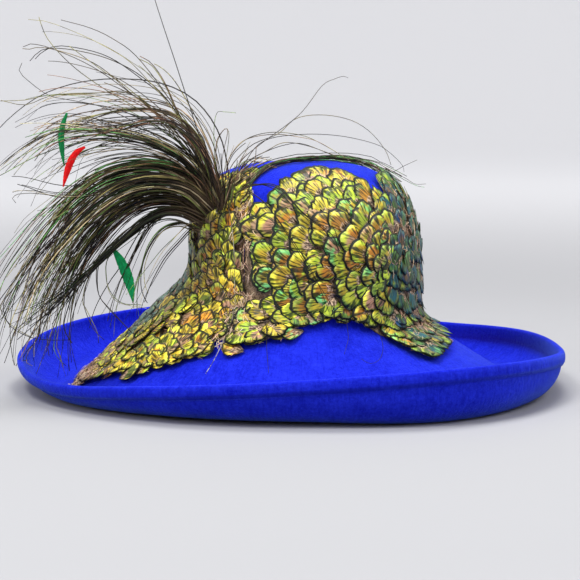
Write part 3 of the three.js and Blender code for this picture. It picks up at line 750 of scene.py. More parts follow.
def featherMaterial(name, look):
    # barbs: streaks that run from root to edge; near the root soft tan down; at the edge and sides
    # a dark margin, partly the feather's own dark edge and partly painted shadow
    material, tree = startMaterial(name)
    across, along = uvWires(tree)
    luck = pointWire(tree, "luck", "Fac")
    plumage = pointWire(tree, "plumage")
    accent = pointWire(tree, "accent")

    def streaks(spokes, length, detail):
        return noise(tree, vectorOf(tree, across * spokes, along * length, luck), 1.0, detail, 0.6)

    barbs = streaks(15.0, 1.8, 2.0)
    broad = streaks(5.0, 3.0, 1.0)
    blotch = streaks(2.2, 2.6, 2.0)
    fromShaft = abs(across - 0.5)
    inBlotch = smooth(tree, blotch + (1 - along) * 0.55 - fromShaft * 0.35, 0.44, 0.66)
    body = mixColour(tree, inBlotch, plumage, accent)
    shade = smooth(tree, barbs * 0.85 + broad * 0.22, 0.44, 0.60)
    dark = mixColour(tree, 1.0, body, look["shadow"], "MULTIPLY")
    body = mixColour(tree, shade, dark, body)
    glow = smooth(tree, along, 0.80, 0.90) * smooth(tree, barbs, 0.46, 0.6)
    body = mixColour(tree, glow * 0.5, body, look["tipGlow"])
    tuft = streaks(13.0, 7.0, 3.0)
    # the down at the root, dark between its tufts: partly dark down, partly painted shade in the gaps
    down = mixColour(tree, smooth(tree, tuft, 0.44, 0.60), look["downDarkAndShade"], look["down"])
    torn = along + (barbs - 0.5) * 0.22 + (blotch - 0.5) * 0.3
    isBody = smooth(tree, torn, look["downEnd"] - 0.05, look["downEnd"] + 0.07)
    colour = mixColour(tree, isBody, down, body)
    bare = smooth(tree, fromShaft + (tuft - 0.5) * 0.2, 0.40, 0.47) * look["sideDown"]
    colour = mixColour(tree, bare, colour, down)
    frayed = along + (barbs - 0.5) * 0.10 + (blotch - 0.5) * 0.08
    margin = smooth(tree, frayed, look["margin"], look["margin"] + 0.03)
    # partly painted shadow: the sides darken where neighbouring feathers overlap
    sides = smooth(tree, fromShaft, 0.455, 0.485) * look["sideDark"] * smooth(tree, along, 0.5, 0.8)
    colour = mixColour(tree, sides, colour, darkEdgeAndShade)
    # the tip's margin: partly the feather's own dark edge, partly painted shadow under the raised tip
    colour = mixColour(tree, margin * look["marginDepth"], colour, darkEdgeAndShade)
    roughness = 0.64 - isBody * 0.2 + margin * 0.3
    relief = barbs * 0.8 + tuft * (1 - isBody) * 0.8 - smooth(tree, fromShaft, 0.0, 0.02) * 0.3
    finishMaterial(tree, colour, {"Specular IOR Level": 0.34, "Sheen Weight": look["sheen"],
                                  "Sheen Roughness": 0.4, "Sheen Tint": (0.8, 1.0, 0.7, 1.0)},
                   roughness=roughness, bump=(relief, 0.6, 0.0005))
    return material


def pickTints(count, palette, weights, spread):
    # a palette colour for each by weight, with a brightness and a slight cast of its own
    rows = np.array(palette)
    chosen = rows[chance.choice(len(rows), count, p=np.array(weights) / sum(weights))]
    return np.clip(chosen * chance.uniform(1 - spread, 1 + spread, (count, 1))
                   * chance.uniform(1 - spread / 3, 1 + spread / 3, (count, 3)), 0, 1)


gold, orange, lime = (0.42, 0.31, 0.020), (0.42, 0.17, 0.015), (0.30, 0.38, 0.022)
yellow, mint, olive = (0.56, 0.50, 0.035), (0.12, 0.40, 0.11), (0.13, 0.16, 0.015)
teal, navy, moss = (0.001, 0.10, 0.11), (0.001, 0.036, 0.13), (0.06, 0.14, 0.016)
brown, rose, steel = (0.17, 0.085, 0.025), (0.36, 0.20, 0.11), (0.12, 0.24, 0.19)

featherLooks = {
    "front": {"halfWidth": 0.0088, "stem": 0.0135, "spokes": 10, "rings": 3, "ragged": 0.030,
              "tipLift": 0.0034, "rootLift": 0.0013, "crown": 0.0009, "thickness": 0.00025,
              "shadow": (0.07, 0.10, 0.03), "down": (0.62, 0.44, 0.28), "downDarkAndShade": (0.06, 0.034, 0.020),
              "downEnd": 0.47, "sideDown": 0.0, "sideDark": 0.9, "margin": 0.905,
              "marginDepth": 1.0, "sheen": 0.04, "tipGlow": (0.50, 0.66, 0.12)},
    "left": {"halfWidth": 0.0080, "stem": 0.0125, "spokes": 10, "rings": 3, "ragged": 0.034,
             "tipLift": 0.0034, "rootLift": 0.0013, "crown": 0.0009, "thickness": 0.00025,
             "shadow": (0.07, 0.08, 0.03), "down": (0.62, 0.41, 0.23), "downDarkAndShade": (0.06, 0.030, 0.016),
             "downEnd": 0.49, "sideDown": 0.0, "sideDark": 0.9, "margin": 0.915,
             "marginDepth": 0.95, "sheen": 0.04, "tipGlow": (0.58, 0.60, 0.10)},
    "right": {"halfWidth": 0.0068, "stem": 0.0178, "spokes": 8, "rings": 4, "ragged": 0.028,
              "tipLift": 0.0036, "rootLift": 0.0013, "crown": 0.0008, "thickness": 0.00025,
              "shadow": (0.05, 0.08, 0.08), "down": (0.66, 0.45, 0.29), "downDarkAndShade": (0.05, 0.035, 0.02),
              "downEnd": 0.44, "sideDown": 0.85, "sideDark": 0.0, "margin": 0.94,
              "marginDepth": 0.95, "sheen": 0.02, "tipGlow": (0.10, 0.26, 0.12)},
}


def makeBacking(pad, look, node):
    # the soft skin of down under a pad's feathers: the felt lifted a little inside the
    # pad's edges, as a closed shell
    low, high = padEdges[pad][0][0], padEdges[pad][-1][0]
    columns, rows = 70, 60
    direction = np.linspace(low + 0.2, high - 0.2, columns + 1)
    top, bottom = edgesAt(pad, direction)
    share = np.linspace(0, 1, rows + 1)[None, :]
    station = top[:, None] + 0.08 + (bottom - top - 0.26)[:, None] * share
    wide = np.broadcast_to(direction[:, None], station.shape)
    rough = 0.0003 * np.sin(wide * 2.3 + station * 41) + 0.0002 * np.sin(wide * 5.1 - station * 67)
    upper = feltPoint(wide, station, 0.0011 + 0.6 * rough)
    lower = feltPoint(wide, station, np.full(station.shape, 0.0004))
    # across its diagonal the grid's faces look away from the felt
    faces = shellFaces(np.arange(station.size).reshape(station.shape).T)
    piece = makeMesh(pad + "PadDown", np.concatenate([upper.reshape(-1, 3), lower.reshape(-1, 3)]), faces)
    material, tree = startMaterial(pad + "Down")
    place = addNode(tree, "ShaderNodeTexCoord", {}, {}, "Object")
    hairs = noise(tree, place, 900.0, 4.0, 0.7)
    clump = noise(tree, place, 140.0, 3.0, 0.6)
    # painted shade: the backing is kept dark, at half the down's colour, so the gaps between feathers look
    # deep
    colour = mixColour(tree, smooth(tree, hairs * 0.6 + clump * 0.5, 0.42, 0.68), look["downDarkAndShade"],
                       tuple(v * 0.5 for v in look["down"]))
    finishMaterial(tree, colour, {"Roughness": 0.85, "Specular IOR Level": 0.2},
                   bump=(hairs + clump, 0.8, 0.0008))
    putOn(piece, material, fieldSlots[pad], node)


fieldSlots = {"left": "olive_feather", "front": "gold_green_feather", "right": "teal_feather"}


def joined(*fields):
    return [np.concatenate(parts) for parts in zip(*fields)]


def layered(count, low):
    # the first, lower feathers lie nearer the felt than the ones over them
    return np.where(np.arange(count) < low, -0.0003, 0.0006)[:, None, None]


def makeFrontPad():
    look = featherLooks["front"]
    # the tips point away from a place under the right pad's edge
    field = ringField("front", (317.0, 0.150), 0.0108, 0.0134, 0.21)
    under = ringField("front", (318.0, 0.144), 0.0140, 0.0160, 0.21)
    direction, station, turn = joined(under, edgeField("front", -1, 0.0115, 0.2),
                                      edgeField("front", 1, 0.0115, 0.25), field)
    count = len(direction)
    raised = layered(count, len(under[0]))
    # painted light: brighter low down against the flare's shade, greener to the right and golden to the left
    lower = 1 + 0.45 * np.clip((station - 0.7) / 0.5, 0, 1)[:, None]
    greenWay = np.clip((direction - 258) / 45, 0, 1) * np.clip((station - 0.3) / 0.6, 0, 1)
    plumage = pickTints(count, [gold, lime, yellow, mint], [3, 4, 3, 1.6], 0.22)
    greens = pickTints(count, [lime, olive, mint, moss], [3, 3, 1.4, 2], 0.22)
    isGreen = (chance.uniform(0, 1, count) < greenWay * 0.8)[:, None]
    accent = 1.15 * pickTints(count, [orange, gold, rose, lime], [2, 2.4, 2, 2], 0.25)
    tints = (1.4 * lower * np.where(isGreen, greens, plumage), accent)
    piece = featherMesh("frontFeathers", direction, station, turn, look, tints, raised)
    putOn(piece, featherMaterial("goldGreenFeather", look), fieldSlots["front"], "front_feather_pad")
    makeDown("frontDown", direction, station, turn, look, 6, fieldSlots["front"],
             (242, 248, 0.62, 2.25, 330))
    makeBacking("front", look, "front_feather_pad")
    print("front feathers", count)


def makeLeftPad():
    look = featherLooks["left"]

    def tipWay(x, y):
        # up over the crown, and up towards the crown along the brim's tail
        onTail = np.clip((y - 0.005) / 0.03, 0, 1)
        return math.radians(-105) + onTail * math.radians(52) + 0.9 * np.sin(x * 90 + y * 60)

    flow = {"lattice": math.radians(-60), "turn": tipWay}
    field = latticeField("left", (215.0, 0.170), 0.0105, 0.0120, (0.19, 0.19), flow, 0.5)
    under = latticeField("left", (213.0, 0.165), 0.0135, 0.0150, (0.19, 0.19), flow, 0.6)
    direction, station, turn = joined(under, edgeField("left", -1, 0.011, 0.3),
                                      edgeField("left", 1, 0.0105, 0.35), field)
    count = len(direction)
    raised = layered(count, len(under[0]))
    # pale grey-green where the pad turns out of view, rose and brown at its tail's end
    # painted light: the tints are 2.4 times the palette, against 1.4 on the front, to lift the low light on
    # this turned-away side
    plumage = 2.4 * pickTints(count, [gold, lime, yellow, olive, orange], [4, 4, 3, 1, 0.6], 0.22)
    across = toPixels(feltPoint(direction, station))[0][:, 0]
    hidden = ((direction < 199 + 3 * np.sin(station * 9)) & (across > 135))[:, None]
    plumage = np.where(hidden, pickTints(count, [steel, teal, moss], [5, 1, 1], 0.25), plumage)
    tail = (across < 100 + 6 * np.sin(station * 40))[:, None]
    plumage = np.where(tail, 1.5 * pickTints(count, [rose, brown, gold], [5, 1, 1], 0.2), plumage)
    accent = 1.15 * pickTints(count, [orange, gold, rose, olive], [2, 3, 1.6, 1.4], 0.25)
    tints = (plumage, np.where(hidden, pickTints(count, [steel, moss], [4, 1], 0.25), accent))
    calm = np.clip(0.3 + (direction - 190) / 26, 0.3, 1)
    piece = featherMesh("leftFeathers", direction, station, turn, look, tints, raised, calm)
    putOn(piece, featherMaterial("oliveFeather", look), fieldSlots["left"], "left_feather_pad")
    risen = direction > 202
    makeDown("leftDown", direction[risen], station[risen], turn[risen], look, 6, fieldSlots["left"],
             (237, 244, 0.58, 2.35, 300))
    atTail = across < 98
    makeDown("tailDown", direction[atTail], station[atTail], turn[atTail], look, 26, fieldSlots["left"])
    makeBacking("left", look, "left_feather_pad")
    print("left feathers", count)


def makeRightPad():
    look = featherLooks["right"]

    def tipWay(x, y):
        # tips up on the upper crown and down below
        return np.where(y < -0.004, math.radians(-92), math.radians(88)) + 0.25 * np.sin(x * 120 + y * 40)

    flow = {"lattice": math.radians(90), "turn": tipWay}
    field = latticeField("right", (338.0, 0.140), 0.0132, 0.0090, (0.16, 0.13), flow, 0.27, 0.0038)
    direction, station, turn = joined(edgeField("right", -1, 0.0085, 0.2),
                                      edgeField("right", 1, 0.0075, 0.2), field)
    count = len(direction)
    # pale ones among the dark at the seam, low down and near the top
    plumage = pickTints(count, [teal, navy, moss], [5, 2, 2], 0.25)
    edge = np.clip((321 - direction) / 12, 0, 1)
    low = np.clip((station - 1.3) / 0.6, 0, 1)
    top = np.clip((0.60 - station) / 0.2, 0, 1)
    share = np.maximum.reduce([edge * 0.7, low * 0.85, top * 0.8])
    isPale = (chance.uniform(0, 1, count) < share)[:, None]
    pale = 1.3 * pickTints(count, [lime, gold, moss, olive, mint], [5, 1, 2, 2, 1], 0.25)
    plumage = np.where(isPale, pale, plumage)
    tints = (plumage, pickTints(count, [moss, teal, brown], [3, 3, 1], 0.25))
    piece = featherMesh("rightFeathers", direction, station, turn, look, tints)
    putOn(piece, featherMaterial("tealFeather", look), fieldSlots["right"], "right_feather_pad")
    makeDown("rightDown", direction, station, turn, look, 7, fieldSlots["right"], (310, 345, 0.6, 2.2, 260))
    makeBacking("right", look, "right_feather_pad")
    print("right feathers", count)


plume = {"rootRadius": 0.00060, "tipRadius": 0.00028, "steps": 30, "farLeft": -0.262}

# The plume's bundles by photo pixel: the middle line, how far in front of (-) or behind the
# crown's axis it starts and ends, its herls, their spread in pixels at root, middle and end,
# the least share of the line that a herl has, and how dark the bundle is.
bundles = {
    "tallRise": {"line": [(221, 206), (212, 165), (196, 128), (180, 100), (165, 78), (150, 64),
                          (139, 58)],
                 "depth": (-0.076, -0.050), "herls": 2, "spread": (3, 5, 7), "least": 0.5, "dark": 0.2},
    "highRise": {"line": [(220, 206), (207, 150), (180, 100), (140, 60), (100, 35), (60, 22), (38, 18)],
                 "depth": (-0.076, -0.060), "herls": 1, "spread": (4, 9, 13), "least": 0.6, "dark": 0.2},
    "broadRise": {"line": [(219, 207), (203, 155), (172, 110), (130, 78), (85, 60), (45, 50), (22, 52)],
                  "depth": (-0.078, -0.080), "herls": 2, "spread": (4, 10, 15), "least": 0.55, "dark": 0.2},
    "lowRise": {"line": [(218, 208), (200, 158), (165, 122), (120, 95), (75, 82), (35, 82), (0, 98)],
                "depth": (-0.078, -0.070), "herls": 9, "spread": (4, 9, 14), "least": 0.5, "dark": 0.2},
    "highArch": {"line": [(218, 206), (205, 150), (185, 120), (160, 107), (130, 104), (95, 108),
                          (60, 121), (35, 141), (12, 170)],
                 "depth": (-0.076, -0.040), "herls": 24, "spread": (4, 8, 13), "least": 0.5, "dark": 0.1},
    "stripOver": {"line": [(217, 207), (207, 168), (192, 142), (170, 126), (148, 123), (120, 130),
                           (90, 134), (60, 136), (28, 143)],
                  "depth": (-0.082, -0.095), "herls": 24, "spread": (4, 3.5, 11), "least": 0.55,
                  "dark": 0.25},
    "strip": {"line": [(216, 208), (201, 178), (180, 157), (150, 142), (115, 134), (80, 132),
                       (50, 138), (20, 156), (-5, 180)],
              "depth": (-0.080, -0.075), "herls": 44, "spread": (4, 4.5, 13), "least": 0.42, "dark": 0.3},
    "underStrip": {"line": [(214, 210), (195, 180), (165, 160), (130, 156), (95, 166), (65, 190),
                            (40, 225)],
                   "depth": (-0.080, -0.050), "herls": 26, "spread": (3, 8, 15), "least": 0.5, "dark": 0.15},
    "mainTop": {"line": [(213, 210), (190, 182), (160, 171), (125, 173), (92, 187), (58, 217),
                         (30, 257), (6, 305), (-8, 345)],
                "depth": (-0.080, -0.060), "herls": 72, "spread": (6, 9, 18), "least": 0.5, "dark": 0.28},
    "mainMiddle": {"line": [(209, 213), (186, 192), (156, 186), (125, 193), (95, 213), (65, 246),
                            (40, 286), (22, 330), (12, 372)],
                   "depth": (-0.084, -0.095), "herls": 76, "spread": (6, 9, 18), "least": 0.5, "dark": 0.3},
    "mainLow": {"line": [(205, 216), (181, 202), (155, 200), (130, 208), (105, 229), (80, 261),
                         (60, 296), (46, 335), (36, 375)],
                "depth": (-0.080, -0.050), "herls": 50, "spread": (5, 7, 17), "least": 0.5, "dark": 0.4},
    "blackBundle": {"line": [(203, 224), (184, 214), (164, 213), (145, 222), (125, 238), (105, 256),
                             (85, 275), (62, 297), (38, 318), (12, 338)],
                    "depth": (-0.086, -0.110), "herls": 30, "spread": (4, 1.5, 6), "least": 0.6, "dark": 1.0},
    "innerFall": {"line": [(203, 225), (186, 216), (166, 214), (151, 224), (138, 246), (125, 276),
                           (112, 312), (102, 352)],
                  "depth": (-0.082, -0.090), "herls": 10, "spread": (5, 6, 15), "least": 0.5, "dark": 0.4},
    "lowCurl": {"line": [(200, 228), (180, 222), (162, 228), (148, 246), (139, 272), (136, 296),
                         (142, 318), (156, 326)],
                "depth": (-0.084, -0.090), "herls": 6, "spread": (3, 4, 8), "least": 0.55, "dark": 0.3},
    "sideFall": {"line": [(202, 226), (190, 228), (178, 240), (164, 256), (152, 276), (140, 298),
                          (124, 330), (112, 372)],
                 "depth": (-0.088, -0.110), "herls": 5, "spread": (3, 6, 13), "least": 0.45, "dark": 0.5},
    "farLeft": {"line": [(180, 182), (140, 178), (95, 192), (60, 194), (28, 188), (12, 187),
                         (3, 192), (0, 200)],
                "depth": (-0.080, -0.070), "herls": 6, "spread": (3, 4, 7), "least": 0.8, "dark": 0.5},
    "rootFan": {"line": [(222, 210), (219, 185), (213, 160), (204, 138), (192, 120)],
                "depth": (-0.082, -0.085), "herls": 12, "spread": (4, 9, 13), "least": 0.4, "dark": 0.25},
    "rightFan": {"line": [(226, 208), (229, 185), (236, 165), (249, 148), (262, 140)],
                 "depth": (-0.084, -0.075), "herls": 11, "spread": (3, 6, 10), "least": 0.4, "dark": 0.25},
}


# A fixed way towards the front, from which each rod's ring is turned.
frontWay = np.array([0.13, -0.95, 0.28])


def tubes(name, paths, radii, sides, tints, luck):
    # a thin rod round each path: at every point a ring of sides points in the plane across
    # the path, closed at both ends
    count, steps, _ = paths.shape
    tangent = np.gradient(paths, axis=1)
    tangent /= np.linalg.norm(tangent, axis=2, keepdims=True) + 1e-12
    wide = np.cross(tangent, frontWay)
    wide /= np.linalg.norm(wide, axis=2, keepdims=True) + 1e-9
    deep = np.cross(wide, tangent)
    turn = (np.arange(sides) * 2 * math.pi / sides)[None, None, :, None]
    ring = wide[:, :, None, :] * np.cos(turn) + deep[:, :, None, :] * np.sin(turn)
    points = (paths[:, :, None, :] + ring * radii[:, :, None, None]).reshape(-1, 3)
    grid = np.arange(steps * sides).reshape(steps, sides)
    nextSide = np.roll(grid, -1, 1)
    walls = np.stack([grid[:-1], grid[1:], nextSide[1:], nextSide[:-1]], -1).reshape(-1, 4)
    base = np.arange(count) * steps * sides
    faces = (walls[None] + base[:, None, None]).reshape(-1, 4).tolist()
    faces += (grid[0][None] + base[:, None]).tolist()
    faces += (grid[-1][::-1][None] + base[:, None]).tolist()
    length = np.linalg.norm(np.diff(paths, axis=1), axis=2)
    along = np.concatenate([np.zeros((count, 1)), np.cumsum(length, 1)], 1)
    share = np.broadcast_to(np.linspace(0, 1, steps)[None, :], (count, steps))
    uvs = np.repeat(np.stack([share, along], -1).reshape(-1, 2), sides, 0)
    attributes = {"plumage": np.repeat(tints, steps * sides, 0), "luck": np.repeat(luck, steps * sides)}
    return makeMesh(name, points, faces, uvs=uvs, attributes=attributes)


def herlMaterial(name, paleEnd):
    # dark herls with olive glints; towards the free end short pale flecks between dark ones
    material, tree = startMaterial(name)
    share, metres = uvWires(tree)
    luck = pointWire(tree, "luck", "Fac")
    plumage = pointWire(tree, "plumage")
    fleck = noise(tree, vectorOf(tree, metres * 420.0, luck, 0.0), 1.0, 1.0, 0.5)
    slow = noise(tree, vectorOf(tree, metres * 60.0, luck, 3.0), 1.0, 1.0, 0.5)
    dull = mixColour(tree, 1.0, plumage, (0.12, 0.11, 0.10), "MULTIPLY")
    glint = mixColour(tree, smooth(tree, slow, 0.36, 0.62), dull, plumage)
    ends = smooth(tree, share, 0.45, 0.95) * smooth(tree, fleck, 0.5, 0.62)
    pale = mixColour(tree, 1.0, plumage, (1.7, 1.75, 1.6), "MULTIPLY")
    colour = mixColour(tree, ends * paleEnd, glint, pale)
    rooted = 1 - smooth(tree, share, 0.04, 0.26)
    colour = mixColour(tree, rooted * 0.5, colour, (0.085, 0.052, 0.028))
    finishMaterial(tree, colour, {"Roughness": 0.55, "Specular IOR Level": 0.2}, bump=(fleck, 0.4, 0.0003))
    return material


herlTints = [(0.050, 0.036, 0.018), (0.22, 0.190, 0.070), (0.15, 0.24, 0.050), (0.016, 0.012, 0.008),
             (0.46, 0.37, 0.21), (0.16, 0.44, 0.13), (0.24, 0.13, 0.07)]
herlWeights = [4, 4, 2.2, 3, 2, 1.0, 2]


def curveThrough(points, steps):
    # a smooth curve through the points in cubic pieces, its steps spaced by length
    gaps = np.linalg.norm(np.diff(points, axis=0), axis=1)
    place = np.concatenate([[0], np.cumsum(gaps)])
    ends = np.concatenate([[2 * points[0] - points[1]], points, [2 * points[-1] - points[-2]]])
    at = np.linspace(0, place[-1], steps)
    first = np.clip(np.searchsorted(place, at, side="right") - 1, 0, len(points) - 2)
    t = ((at - place[first]) / gaps[first])[:, None]
    return cubic(*[ends[first + k] for k in range(4)], t)


def bundlePaths(look, steps):
    # each herl keeps beside the bundle's line: its distance is its own draw from a bell
    # curve times the spread there, and drifts to another draw towards the end
    middle = curveThrough(np.array(look["line"], float), 80)
    count = look["herls"]
    end = chance.uniform(look["least"], 1.0, count) ** 0.8
    at = np.linspace(0, 1, steps + 1)[None, :] * end[:, None]
    place = np.linspace(0, 1, 80)
    x, y = [np.interp(at, place, middle[:, k]) for k in (0, 1)]
    way = np.gradient(middle, axis=0)
    way /= np.linalg.norm(way, axis=1, keepdims=True)
    acrossX, acrossY = [np.interp(at, place, v) for v in (-way[:, 1], way[:, 0])]
    root, half, tip = look["spread"]
    spread = np.interp(at, [0, 0.25, 0.55, 1], [root, (root + half) / 2, half, tip])
    own = chance.normal(0, 1, (count, 1))
    off = own + (chance.normal(0, 1.1, (count, 1)) - 0.55 * own) * np.minimum(1, at * 1.6)
    off = off + chance.normal(0, 1.0, (count, 1)) * at**3
    wave = at**1.5 * np.sin(at * chance.uniform(5, 13, (count, 1)) + chance.uniform(0, 6.3, (count, 1)))
    off = off * spread + wave * chance.uniform(0.6, 4.2, (count, 1))
    # the last part of a herl hooks over to one side, and one in six wanders off
    hook = np.clip(at / end[:, None] - 0.75, 0, 1) / 0.25
    wild = chance.uniform(0, 1, (count, 1)) < 0.16
    off = off + hook**2 * chance.normal(0, 3.6, (count, 1)) * np.where(wild, 2.2, 1)
    off = off + wild * at**2 * spread * chance.normal(0, 1.1, (count, 1))
    depth = np.interp(at, [0, 1], look["depth"]) + chance.normal(0, 0.0025, (count, 1))
    depth = depth + chance.normal(0, 0.016, (count, 1)) * at
    return atDepth(x + acrossX * off, y + acrossY * off, depth)


def makePlume():
    # all bundles' herls, thinner towards their ends, none closer than 2 mm to the felt
    steps = plume["steps"]
    paths = np.concatenate([bundlePaths(look, steps) for look in bundles.values()])
    dark = np.concatenate([np.full(look["herls"], look["dark"]) for look in bundles.values()])
    # a herl that would reach far past the brim is left out
    inReach = paths[..., 0].min(1) > plume["farLeft"]
    paths, dark = paths[inReach], dark[inReach]
    count = len(paths)
    paths[..., 2] = np.maximum(paths[..., 2], feltClearance(paths))
    share = np.linspace(0, 1, steps + 1)[None, :]
    radii = plume["rootRadius"] + (plume["tipRadius"] - plume["rootRadius"]) * share
    radii = radii * chance.uniform(0.5, 1.25, (count, 1))
    tints = pickTints(count, herlTints, herlWeights, 0.3)
    tints = np.where((chance.uniform(0, 1, count) < dark)[:, None], tints * 0.10, tints)
    piece = tubes("plumeHerls", paths, radii, 3, tints, chance.uniform(0, 60, count))
    putOn(piece, herlMaterial("plumeHerl", 0.75), "dark_herl", "plume")
    print("plume herls", count)


def feltClearance(paths):
    # the height that a herl must keep over the brim: the felt's outside below its point
    flat = paths.reshape(-1, 3)
    direction = np.degrees(np.arctan2(flat[:, 1], flat[:, 0])) % 360
    own = np.hypot(flat[:, 0], flat[:, 1])
    grid = np.arange(0, 360, 3.0)
    reach, height = lineOf(grid)
    pick = (np.round(direction / 3).astype(int)) % len(grid)
    each = np.abs(reach[pick] - own[:, None]).argmin(1)
    onFelt = height[pick, each]
    beyond = own > reach[pick].max(1) + 0.004
    return np.where(beyond, 0.004, onFelt + 0.002).reshape(paths.shape[:2])


makePlume()


